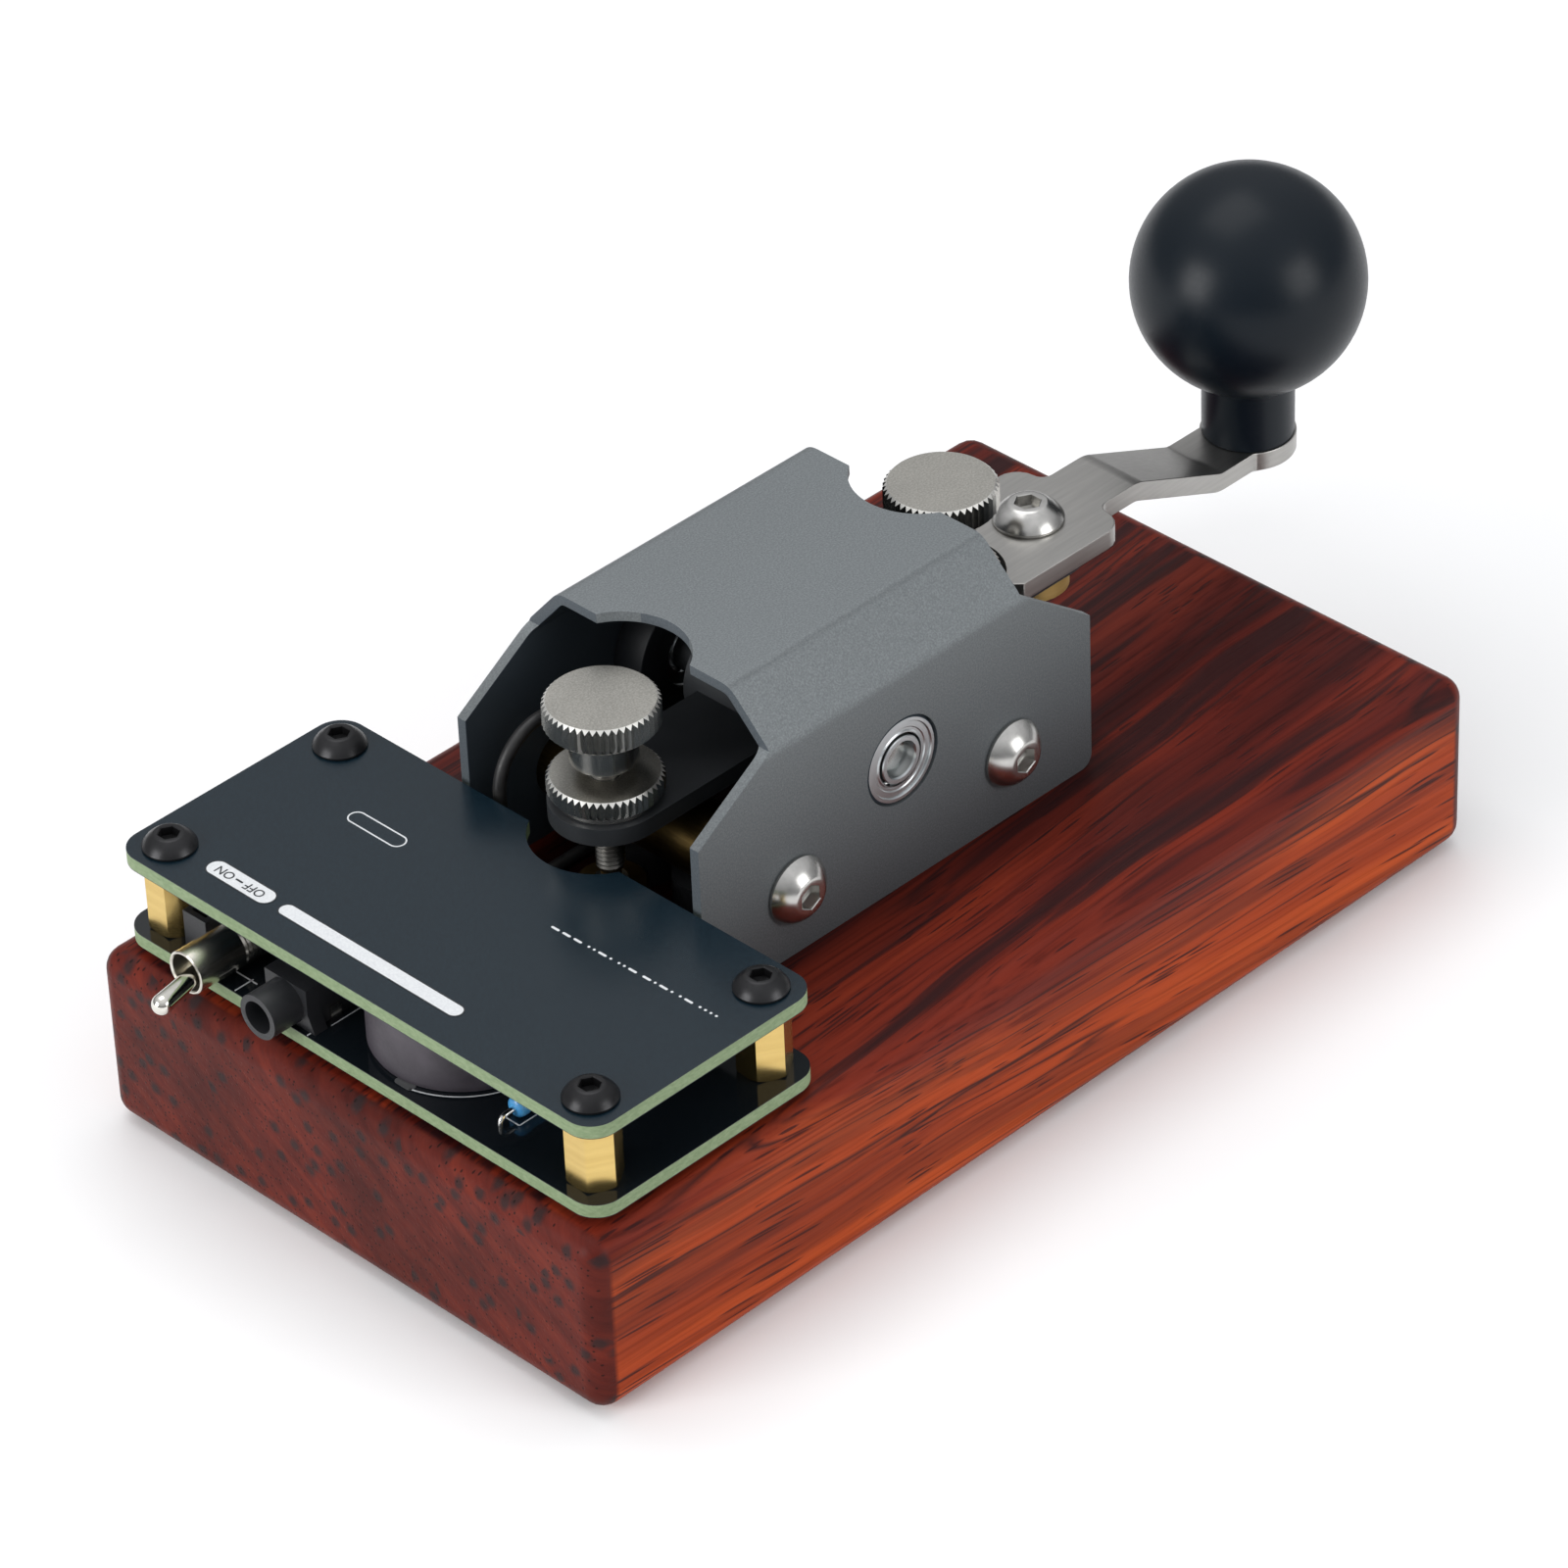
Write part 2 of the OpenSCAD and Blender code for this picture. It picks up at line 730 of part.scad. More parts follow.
module contact_posts() {
    color(c_brass) for (x = [rear_x, front_x]) translate([x, 0, wood_z1]) difference() {
        cylinder(r = post_r, h = post_z1 - wood_z1);
        translate([0, 0, -over]) cylinder(r = m3_r + thread_gap, h = post_h - post_roof + over);
    }
}

module post_pads() {
    color(c_steel) for (x = [rear_x, front_x]) translate([x, 0, post_z1])
        cylinder(r = post_pad_r, h = post_pad_t);
}

module post_screws() {
    color(c_steel) for (x = [rear_x, front_x]) translate([x, 0, sink_z])
        cap_screw(m3_r, cap3_r, cap3_h, cap3_key, post_z1 - post_roof - hole_past - sink_z);
}

// Closed coils at both ends, open coils between, as one tube of rings
module return_spring() {
    steps = 20;
    sides = 8;
    dead = 1;
    live = spring_turns - 2 * dead;
    coil = 2 * spring_wire + 0.42;
    rise = spring_z1 - spring_z0 - 2 * spring_wire - 2 * dead * coil;
    total = spring_turns * steps;
    function lift(t) = t < dead ? t * coil : t > dead + live ? dead * coil + rise + (t - dead - live) * coil
        : dead * coil + rise * (t - dead) / live;
    points = [for (i = [0 : total], j = [0 : sides - 1])
        let (t = i / steps, a = t * 360, b = j * 360 / sides, r = spring_r + spring_wire * cos(b))
        [r * cos(a), r * sin(a), spring_wire + lift(t) + spring_wire * sin(b)]];
    skin = [for (i = [0 : total - 1], j = [0 : sides - 1], k = [0, 1])
        let (n = (j + 1) % sides, p = i * sides, q = (i + 1) * sides)
        k == 0 ? [p + j, q + j, q + n] : [p + j, q + n, p + n]];
    first = [[for (j = [0 : sides - 1]) j]];
    last = [[for (j = [0 : sides - 1]) total * sides + sides - 1 - j]];
    gap = min(coil, rise / live) - 2 * spring_wire;
    echo(least_spring_gap = gap);
    color(c_steel) translate([spring_x, 0, spring_z0]) polyhedron(points, concat(skin, first, last));
}

module spring_seat() {
    color(c_brass) translate([spring_x, 0, wood_z1]) {
        cylinder(r = seat_r, h = seat_t);
        cylinder(r = seat_pin_r, h = seat_t + seat_pin_h);
    }
}

module board_blank() {
    difference() {
        translate([(board_x0 + board_x1) / 2, 0]) rounded_flat(board_w, board_l, board_r);
        for (p = holes) translate([p[0], p[1]]) circle(board_hole_r);
    }
}

module lower_board() {
    color(c_board) translate([0, 0, board_z0]) linear_extrude(board_t) board_blank();
}

module upper_board() {
    color(c_board) translate([0, 0, upper_z0]) linear_extrude(board_t) difference() {
        board_blank();
        translate([board_notch_x, 0]) circle(board_notch_r);
    }
}

module board_standoffs() {
    color(c_brass) for (p = holes) translate([p[0], p[1], board_z1]) difference() {
        rotate([0, 0, 30]) cylinder(r = hex_af / sqrt(3), h = standoff_h, $fn = 6);
        translate([0, 0, -over]) cylinder(r = m3_r + thread_gap, h = standoff_h + 2 * over);
    }
}

module board_washers() {
    color(c_black) for (p = holes) translate([p[0], p[1], wood_z1]) difference() {
        cylinder(r = washer_r, h = washer_h);
        translate([0, 0, -over]) cylinder(r = m3_r + pass_gap, h = washer_h + 2 * over);
    }
}

module board_screws() {
    color(c_black) for (p = holes) translate([p[0], p[1], upper_z1])
        button_screw(m3_r, m3_head_r, m3_head_h, m3_key, board_t + standoff_bite);
}

module board_base_screws() {
    color(c_steel) for (p = holes) translate([p[0], p[1], sink_z])
        cap_screw(m3_r, cap3_r, cap3_h, cap3_key, board_z1 + standoff_bite - sink_z);
}

module switch_body() {
    color(c_black) translate([bushing_x1, switch_y - body_w / 2, board_z1]) difference() {
        cube([body_l, body_w, body_h]);
        translate([-over, -over, body_h - ledge_h]) cube([ledge_l + over, body_w + 2 * over, over]);
    }
}

// Folded metal frame over the body's front, with two legs
module switch_frame() {
    color(c_steel) translate([bushing_x1 - frame_t, switch_y - body_w / 2 - frame_t, board_z1])
        difference() {
            union() {
                cube([frame_t, body_w + 2 * frame_t, body_h]);
                for (y = [0, body_w + frame_t]) translate([0, y, 0])
                    cube([frame_l, frame_t, body_h - frame_low]);
            }
            translate([-over, body_w / 2 + frame_t, switch_up]) rotate([0, 90, 0])
                cylinder(r = frame_hole_r, h = frame_t + 2 * over);
        }
}

module switch_bushing() {
    reach = bushing_x1 - frame_t - switch_mouth_x;
    color(c_steel) translate([switch_mouth_x, switch_y, switch_z]) rotate([0, 90, 0]) difference() {
        union() {
            cylinder(r = bushing_r, h = reach);
            translate([0, 0, reach - collar_t]) cylinder(r = bushing_r + collar_rim, h = collar_t);
        }
        translate([0, 0, -over]) cylinder(r = bushing_bore_r, h = bushing_bore_l + over);
    }
}

module switch_lever() {
    color(c_steel) translate([flip_x, switch_y, switch_z]) rotate([0, 0, flip_angle]) {
        cylinder(r = flip_pin_r, h = 2 * flip_pin_half, center = true);
        rotate([0, -90, 0]) {
            sphere(flip_ball_r);
            cylinder(r1 = bat_root_r, r2 = bat_tip_r, h = bat_l);
            translate([0, 0, bat_l]) sphere(bat_tip_r);
        }
    }
}

module jack_body() {
    color(c_black) difference() {
        union() {
            translate([jack_x0, jack_y - jack_w / 2, board_z1]) cube([jack_l, jack_w, jack_h]);
            translate([jack_mouth_x, jack_y, jack_z]) rotate([0, 90, 0])
                cylinder(r = jack_nose_r, h = jack_x0 - jack_mouth_x + over);
            for (s = [-1, 1]) translate([jack_x0, jack_y + s * jack_w / 2, board_z1]) rotate([90, 0, 90])
                linear_extrude(fin_l) polygon([[-s * 0.2, 0], [s * fin_w, 0], [-s * 0.2, fin_h]]);
        }
        translate([jack_mouth_x - over, jack_y, jack_z]) rotate([0, 90, 0])
            cylinder(r = jack_bore_r, h = jack_bore_l + over);
    }
}

module jack_pins() {
    pin_w = 1.4;
    pin_t = 0.25;
    color(c_steel) for (x = [3.5, 8.5], s = [-1, 1])
        translate([jack_x0 + x, jack_y + s * (jack_w / 2 + pin_t / 2), board_z1 + 0.8])
            cube([pin_w, pin_t, 1.6], center = true);
}

module buzzer() {
    color([0.27, 0.26, 0.27]) translate([buzzer_x, buzzer_y, board_z1]) difference() {
        cylinder(r = buzzer_d / 2, h = buzzer_h);
        translate([0, 0, buzzer_h - 1.2]) cylinder(r = buzzer_hole_r, h = 1.2 + over);
    }
}

module resistor() {
    bead = 1.5;
    color([0.2, 0.5, 0.75]) translate([resistor_x, resistor_y, board_z1 + resistor_r]) rotate([0, 90, 0])
        difference() {
            union() {
                cylinder(r = resistor_r - 0.12, h = resistor_l - 0.2, center = true);
                for (s = [-1, 1]) translate([0, 0, s * (resistor_l - bead) / 2])
                    cylinder(r = resistor_r, h = bead, center = true);
            }
            translate([0, 0, -resistor_l]) cylinder(r = lead_r, h = 2 * resistor_l);
        }
}

module resistor_leads() {
    reach = resistor_l / 2 + lead_out;
    color(c_steel) translate([resistor_x, resistor_y, board_z1 + resistor_r]) {
        rotate([0, 90, 0]) cylinder(r = lead_r, h = 2 * (reach - lead_bend), center = true, $fn = 24);
        for (s = [-1, 1]) {
            translate([s * (reach - lead_bend), 0, -lead_bend]) rotate([90, 0, 0])
                rotate([0, 0, s > 0 ? 0 : 90]) rotate_extrude(angle = 90, $fn = 48)
                    translate([lead_bend, 0]) circle(lead_r, $fn = 24);
            translate([s * reach, 0, -resistor_r])
                cylinder(r = lead_r, h = resistor_r - lead_bend, $fn = 24);
        }
    }
}

// Small two-way socket for the battery lead
module battery_socket() {
    color(c_black) translate([socket_x, socket_y1 - socket_w, board_z1]) difference() {
        cube([socket_l, socket_w, socket_h]);
        translate([socket_wall, socket_wall, over])
            cube([socket_l - 2 * socket_wall, socket_w - 2 * socket_wall, socket_h]);
    }
}

// One lead arches up to the rear cross bar, one runs along the wood from the front post
module signal_wires() {
    color(c_black) {
        down = deck_z + wire_bend;
        arch_z = bar_z + bar_r + touch;
        far_x = arch_x - arch_r;
        translate([arch_x, wire_a_y, arch_z]) wire_arc(arch_r, 0, 180);
        translate([far_x, wire_a_y, down]) wire_run(arch_z - down);
        translate([far_x - wire_bend, wire_a_y, down]) wire_arc(wire_bend, -90, 90);
        translate([wire_end_x, wire_a_y, deck_z]) rotate([0, 90, 0])
            wire_run(far_x - wire_bend - wire_end_x);
        rise = (deck_z - floor_z) / 2;
        turn_x = board_x1 + wire_turn;
        translate([front_x, post_r + touch, floor_z]) rotate([-90, 0, 0])
            wire_run(wire_b_y - wire_bend - post_r - touch);
        translate([front_x - wire_bend, wire_b_y - wire_bend, floor_z]) rotate_extrude(angle = 90)
            translate([wire_bend, 0]) circle(wire_r, $fn = 24);
        translate([turn_x, wire_b_y, floor_z]) rotate([0, 90, 0])
            wire_run(front_x - wire_bend - turn_x);
        translate([turn_x, wire_b_y, floor_z + rise]) wire_arc(rise, 180, 90);
        translate([turn_x - 2 * rise, wire_b_y, floor_z + rise]) wire_arc(rise, 0, 90);
        translate([wire_end_x, wire_b_y, deck_z]) rotate([0, 90, 0])
            wire_run(turn_x - 2 * rise - wire_end_x);
    }
}

module solder_joints() {
    foot_r = 0.85;
    spots = [[wire_end_x - foot_r, wire_a_y], [wire_end_x - foot_r, wire_b_y]];
    color(c_nickel) for (p = spots) translate([p[0], p[1], board_z1])
        cylinder(r1 = foot_r, r2 = 0.5, h = 0.9);
}

wood_base();
non_slip_pad();
cover();
cover_screws();
cross_bars();
bar_spacers();
bar_screws();
bearing_housings();
bearing_outer_rings();
bearing_shields();
bearing_balls();
bearing_inner_rings();
axle();
lever_bar();
threaded_boss();
handle_plate();
handle_screw();
ball_knob();
knob_screw();
rear_contact_tip();
rear_adjust_screw();
rear_lock_nut();
front_contact_tip();
front_adjust_screw();
front_lock_nut();
contact_posts();
post_pads();
post_screws();
return_spring();
spring_seat();
lower_board();
upper_board();
board_standoffs();
board_washers();
board_screws();
board_base_screws();
switch_body();
switch_frame();
switch_bushing();
switch_lever();
jack_body();
jack_pins();
buzzer();
resistor();
resistor_leads();
battery_socket();
signal_wires();
solder_joints();
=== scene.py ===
from math import acos, atan2, cos, pi, radians, sin, sqrt

import bmesh
import bpy
from mathutils import Matrix, Vector


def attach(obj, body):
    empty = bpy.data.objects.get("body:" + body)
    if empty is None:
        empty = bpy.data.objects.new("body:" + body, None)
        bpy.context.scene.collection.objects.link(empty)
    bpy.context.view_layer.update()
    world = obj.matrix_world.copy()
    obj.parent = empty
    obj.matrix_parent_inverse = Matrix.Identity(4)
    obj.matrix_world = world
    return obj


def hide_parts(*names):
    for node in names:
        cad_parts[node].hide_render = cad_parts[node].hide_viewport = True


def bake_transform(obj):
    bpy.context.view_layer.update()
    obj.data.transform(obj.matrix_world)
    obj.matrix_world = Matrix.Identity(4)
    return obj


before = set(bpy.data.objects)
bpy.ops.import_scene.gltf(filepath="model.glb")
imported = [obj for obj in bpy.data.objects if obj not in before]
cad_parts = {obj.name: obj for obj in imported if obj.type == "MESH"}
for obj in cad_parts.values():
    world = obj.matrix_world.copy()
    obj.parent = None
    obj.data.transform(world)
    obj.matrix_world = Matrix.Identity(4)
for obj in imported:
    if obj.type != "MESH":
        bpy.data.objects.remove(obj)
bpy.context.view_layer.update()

mm = 0.001
scene = bpy.context.scene
scene.view_settings.view_transform = "Standard"


# Camera: a long lens from above, at the board's end and to the operator's left,
# with the photograph's small tilt.
heading, dip, tilt = radians(-43.994), radians(35.889), radians(-2.402)
ahead = Vector((-sin(heading) * cos(dip), cos(heading) * cos(dip), -sin(dip)))
side = Vector((cos(heading), sin(heading), 0))
above = side.cross(ahead)
to_right = cos(tilt) * side + sin(tilt) * above
to_top = -sin(tilt) * side + cos(tilt) * above
camera_data = bpy.data.cameras.new("camera")
camera_data.sensor_width = 36
camera_data.lens = 170.96
camera_data.clip_start = 0.05
camera = bpy.data.objects.new("camera", camera_data)
stand = Vector((-0.42914, -0.44293, 0.47079))
camera.matrix_world = Matrix.Translation(stand) @ Matrix((to_right, to_top, -ahead)).transposed().to_4x4()
scene.collection.objects.link(camera)
scene.camera = camera


# Studio: a big soft lamp overhead and a smaller one at each side, where the ball
# knob shows them, under a pale room that is brighter above than at the horizon.
def soft_lamp(name, direction, distance, width, height, radiance):
    """A rectangular lamp that faces the key; its radiance holds at any size."""
    data = bpy.data.lights.new(name, "AREA")
    data.shape = "RECTANGLE"
    data.size, data.size_y = width, height
    data.energy = radiance * pi * width * height
    lamp = bpy.data.objects.new(name, data)
    aim = Vector((0, 0, 0.03))
    lamp.matrix_world = (Matrix.Translation(aim + direction.normalized() * distance)
                         @ direction.to_track_quat("Z", "Y").to_matrix().to_4x4())
    scene.collection.objects.link(lamp)


def from_camera(x, y, z):
    """A direction to the camera's right, to its top and back towards it."""
    return to_right * x + to_top * y - ahead * z


def coordinates(nodes, output="Object"):
    return nodes.new("ShaderNodeTexCoord").outputs[output]


def parts_of(vector):
    made = vector.id_data.nodes.new("ShaderNodeSeparateXYZ")
    vector.id_data.links.new(vector, made.inputs[0])
    return made.outputs


def ramp(source, *stops):
    """Colours or grey values at their stops along the source's value."""
    made = source.id_data.nodes.new("ShaderNodeValToRGB")
    band = made.color_ramp
    while len(band.elements) < len(stops):
        band.elements.new(0.5)
    for element, (at, colour) in zip(band.elements, stops):
        element.position = at
        element.color = (*colour, 1) if isinstance(colour, tuple) else (colour, colour, colour, 1)
    source.id_data.links.new(source, made.inputs["Fac"])
    return made.outputs["Color"]


soft_lamp("lamp_above", Vector((0.05, 0.25, 1)), 0.9, 0.7, 0.6, 1.5)
soft_lamp("lamp_left", from_camera(-0.81, -0.05, 0.584), 0.8, 0.38, 0.42, 6.4)
soft_lamp("lamp_right", from_camera(0.79, 0.03, 0.61), 0.8, 0.40, 0.40, 3.8)

room = bpy.data.worlds.new("room")
scene.world = room
room.use_nodes = True
nodes, links = room.node_tree.nodes, room.node_tree.links
rise = parts_of(coordinates(nodes, "Generated"))["Z"]
links.new(ramp(rise, (0.0, (0.14, 0.14, 0.145)), (0.9, (0.87, 0.88, 0.90))),
          nodes["Background"].inputs["Color"])


# Floor: a plain pale table. It looks white in pictures and in reflections,
# keeps the key's shadow, and lights the key from below as pale paint would.
def material(name, **values):
    """A new material; the values are those of its Principled shader's inputs."""
    made = bpy.data.materials.new(name)
    made.use_nodes = True
    shader = made.node_tree.nodes["Principled BSDF"]
    for key, value in values.items():
        socket = shader.inputs[key.replace("_", " ").title().replace("Ior", "IOR")]
        socket.default_value = (*value, 1) if isinstance(value, tuple) and len(value) == 3 else value
    return made, made.node_tree.nodes, made.node_tree.links, shader


def is_socket(value):
    return isinstance(value, bpy.types.NodeSocket)


def feed(node, inputs, values):
    """Links each value that is a socket to its input, and sets the others."""
    for place_in_node, value in zip(inputs, values):
        if is_socket(value):
            value.id_data.links.new(value, node.inputs[place_in_node])
        else:
            node.inputs[place_in_node].default_value = (*value, 1) if isinstance(value, tuple) else value


def maths(kind, first, second=0.0):
    """A sum on sockets or plain numbers, at least one of them a socket."""
    tree = next(v for v in (first, second) if is_socket(v)).id_data
    made = tree.nodes.new("ShaderNodeMath")
    made.operation = kind
    feed(made, (0, 1), (first, second))
    return made.outputs[0]


def mixed(kind, factor, first, second):
    """Two colours mixed, through a Mix node's own colour sockets."""
    tree = next(v for v in (factor, first, second) if is_socket(v)).id_data
    made = tree.nodes.new("ShaderNodeMix")
    made.data_type = "RGBA"
    made.blend_type = kind
    factor_in, first_in, second_in, colour_out = 0, 6, 7, 2
    feed(made, (factor_in, first_in, second_in), (factor, first, second))
    return made.outputs[colour_out]


pale, white = (0.62, 0.62, 0.62), (1.0, 1.0, 1.0)
floor_paint, nodes, links, shader = material("floor_paint", roughness=1.0, specular_ior_level=0.0)
path = nodes.new("ShaderNodeLightPath")
seen = maths("MAXIMUM", path.outputs["Is Camera Ray"], path.outputs["Is Glossy Ray"])
seen = maths("MAXIMUM", seen, path.outputs["Is Transmission Ray"])
links.new(mixed("MIX", seen, pale, white), shader.inputs["Base Color"])
half_floor, floor_drop = 3.0, 0.2 * mm
bm = bmesh.new()
bmesh.ops.create_grid(bm, x_segments=1, y_segments=1, size=half_floor)
bmesh.ops.translate(bm, vec=(0, 0, -floor_drop), verts=bm.verts)
mesh = bpy.data.meshes.new("floor")
bm.to_mesh(mesh)
bm.free()
mesh.materials.append(floor_paint)
floor = bpy.data.objects.new("floor", mesh)
scene.collection.objects.link(floor)


# Wooden base: one block of oiled red hardwood, 128 x 72 x 21 mm, grain along its
# length, every edge rounded by 2.5 mm, with counterbored screw holes underneath.
base_l, base_w, base_low, base_top, base_edge = 128, 72, 0.3, 21.2, 2.5
pad_l, pad_w, pad_corner, pad_top = 112, 50, 4, 1.0
bar_xs, bar_screw_ys = (-17.0, 14.2), (-5, 5)
stud_xs, stud_ys = (-57.7, -34.7), (-30.05, 30.05)
rear_x, front_x = -26.0, 22.5
bar_hole, bar_sink, bar_sink_top = 2.2, 4.1, 6.0
small_hole, small_sink, small_sink_top = 1.7, 3.35, 5.6


def shade(bm, angle=32):
    """Smooth faces, with a sharp edge wherever two of them meet at more than the angle."""
    for face in bm.faces:
        face.smooth = True
    for edge in bm.edges:
        edge.smooth = len(edge.link_faces) == 2 and edge.calc_face_angle() < radians(angle)


def add_piece(name, bm, paint, body, slot, *cad_nodes, flat_faces=False):
    """Makes the finished piece: its materials, its body and the CAD nodes it stands for; the slot is not
    used.
    """
    mesh = bpy.data.meshes.new(name)
    bm.to_mesh(mesh)
    bm.free()
    for each in paint if isinstance(paint, list) else [paint]:
        mesh.materials.append(each)
    piece = bpy.data.objects.new(name, mesh)
    scene.collection.objects.link(piece)
    if flat_faces:
        even = piece.modifiers.new("even_faces", "WEIGHTED_NORMAL")
        even.keep_sharp = True
    if body:
        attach(piece, body)
    if cad_nodes:
        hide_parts(*cad_nodes)
    return piece


def stretched(source, scale, turn=(0, 0, 0), shift=(0, 0, 0)):
    """Coordinates turned, then scaled to cells of their own size, in cells per metre."""
    nodes, links = source.id_data.nodes, source.id_data.links
    made = nodes.new("ShaderNodeMapping")
    made.inputs["Location"].default_value = shift
    made.inputs["Rotation"].default_value = turn
    size = nodes.new("ShaderNodeVectorMath")
    size.operation = "MULTIPLY"
    size.inputs[1].default_value = scale
    links.new(source, made.inputs["Vector"])
    links.new(made.outputs[0], size.inputs[0])
    return size.outputs[0]


def times(first, second):
    return maths("MULTIPLY", first, second)


def plus(first, second):
    return maths("ADD", first, second)


def noise(vector, scale=1.0, detail=2.0, rough=0.5, output="Fac"):
    made = vector.id_data.nodes.new("ShaderNodeTexNoise")
    feed(made, ("Vector", "Scale", "Detail", "Roughness"), (vector, scale, detail, rough))
    return made.outputs[output]


def cells(vector, randomness=1.0, across=False):
    """Distance from the nearest of many scattered points, and that point's own random number.
    across leaves the length out, so that the cells run through the block."""
    nodes, links = vector.id_data.nodes, vector.id_data.links
    made = nodes.new("ShaderNodeTexVoronoi")
    if across:
        made.voronoi_dimensions = "2D"
        apart = nodes.new("ShaderNodeSeparateXYZ")
        flat = nodes.new("ShaderNodeCombineXYZ")
        links.new(vector, apart.inputs[0])
        links.new(apart.outputs["Y"], flat.inputs["X"])
        links.new(apart.outputs["Z"], flat.inputs["Y"])
        vector = flat.outputs[0]
    feed(made, ("Vector", "Scale", "Randomness"), (vector, 1.0, randomness))
    parts = nodes.new("ShaderNodeSeparateColor")
    links.new(made.outputs["Color"], parts.inputs[0])
    return made.outputs["Distance"], parts.outputs[0]


def bumped(height, depth, strength=1.0):
    """The normals of a surface that the height raises by up to the depth, in metres."""
    made = height.id_data.nodes.new("ShaderNodeBump")
    feed(made, ("Height", "Distance", "Strength"), (height, depth, strength))
    return made.outputs[0]


hardwood, nodes, links, shader = material("hardwood", roughness=0.42, specular_ior_level=0.11)
place = coordinates(nodes)
drift = noise(stretched(place, (14, 40, 40)), output="Color")
pull = nodes.new("ShaderNodeVectorMath")
pull.operation = "MULTIPLY_ADD"
links.new(drift, pull.inputs[0])
pull.inputs[1].default_value = (0.0, 0.005, 0.005)
links.new(place, pull.inputs[2])
wavy = pull.outputs[0]
rings = (radians(-34), radians(-2.5), 0)

# The grain's three widths, and the two tones: bright on the sides, dark on the top.
broad = noise(stretched(wavy, (6, 60, 190), rings), 1, 3, 0.5)
fibre = noise(stretched(wavy, (14, 1300, 2200), rings, (0.3, 0.1, 0.2)), 1, 3, 0.6)
smoky = noise(stretched(wavy, (7, 150, 520), rings, (0.7, 0.2, 0.5)), 1, 4, 0.56)
side_tone = ramp(broad, (0.34, (0.28, 0.036, 0.010)), (0.48, (0.45, 0.062, 0.013)),
                 (0.64, (0.62, 0.102, 0.020)))
top_tone = ramp(broad, (0.34, (0.050, 0.008, 0.007)), (0.46, (0.115, 0.014, 0.009)),
                (0.57, (0.220, 0.026, 0.011)), (0.72, (0.35, 0.050, 0.016)))
height = parts_of(place)
from_edge = maths("SUBTRACT", base_w / 2 * mm, maths("ABSOLUTE", height["Y"]))
rim = maths("MINIMUM", from_edge, 0.008)
blot = noise(stretched(place, (22, 40, 40), shift=(0.4, 0, 0)), 1, 2)
lift = plus(times(height["Z"], 30), times(rim, 20))
lift = plus(lift, times(blot, 0.5))
upper = ramp(plus(lift, times(smoky, 0.3)), (0.84, 0.0), (1.06, 1.0))
tone = mixed("MIX", upper, side_tone, top_tone)
fibre_depth = plus(times(upper, 0.22), 0.48)
tone = mixed("MULTIPLY", fibre_depth, tone, ramp(fibre, (0.33, (0.34, 0.28, 0.32)),
                                                 (0.48, (0.86, 0.82, 0.82)), (0.62, white)))

# Dark streaks, thin dark veins and short open pores along the grain.
streaks = ramp(smoky, (0.37, 1.0), (0.435, 0.74), (0.475, 0.14), (0.53, 0.0))
streak_depth = times(streaks, plus(times(upper, 0.50), 0.42))
tone = mixed("MIX", streak_depth, tone, (0.024, 0.008, 0.009))
vein = noise(stretched(wavy, (5, 100, 350), rings, (0.1, 0.4, 0.9)), 1, 2)
vein_line = maths("ABSOLUTE", maths("SUBTRACT", vein, 0.5))
vein_fade = ramp(noise(stretched(place, (25, 120, 120), rings, (0.5, 0.5, 0.1)), 1, 2),
                 (0.38, 0.0), (0.54, 1.0))
veins = times(ramp(vein_line, (0.0, 0.95), (0.010, 0.60), (0.026, 0.0)), vein_fade)
tone = mixed("MIX", veins, tone, (0.030, 0.009, 0.009))
pore_at, pore_pick = cells(stretched(wavy, (52, 2000, 2000), (radians(-34), radians(-5), 0)))
crowd = noise(stretched(place, (35, 170, 170)), 1, 2)
pores = times(ramp(pore_at, (0.22, 1.0), (0.36, 0.0)), maths("GREATER_THAN", plus(pore_pick, crowd), 1.14))
tone = mixed("MIX", times(pores, 0.82), tone, (0.030, 0.007, 0.007))

# End grain: a darker red with ragged dark spots and pinholes.
ray = noise(stretched(place, (30, 110, 620), rings), 1, 4, 0.65)
end_tone = ramp(ray, (0.30, (0.088, 0.013, 0.009)), (0.48, (0.126, 0.018, 0.012)),
                (0.66, (0.175, 0.025, 0.014)))
end_tone = mixed("MULTIPLY", 0.8, end_tone, ramp(noise(stretched(place, (10, 70, 70), rings), 1, 3),
                                                 (0.38, (0.50, 0.55, 0.62)), (0.58, white)))
ragged = times(noise(place, 1500, 2), 0.22)
spot_at, spot_pick = cells(stretched(place, (1, 390, 440), rings), across=True)
spot_crowd = noise(stretched(place, (1, 60, 110), rings, (0, 0.02, 0.03)), 1, 1)
spots = times(ramp(plus(spot_at, ragged), (0.26, 1.0), (0.50, 0.0)),
              maths("GREATER_THAN", plus(spot_pick, spot_crowd), 1.12))
end_tone = mixed("MIX", times(spots, 0.82), end_tone, (0.024, 0.017, 0.018))
pin_at, pin_pick = cells(stretched(place, (1, 1500, 1500)), across=True)
pins = times(ramp(pin_at, (0.12, 1.0), (0.22, 0.0)), maths("GREATER_THAN", pin_pick, 0.72))
end_tone = mixed("MIX", times(pins, 0.85), end_tone, (0.010, 0.004, 0.004))
facing = parts_of(coordinates(nodes, "Normal"))
on_end = ramp(maths("ABSOLUTE", facing["X"]), (0.03, 0.0), (0.24, 1.0))
tone = mixed("MIX", on_end, tone, end_tone)
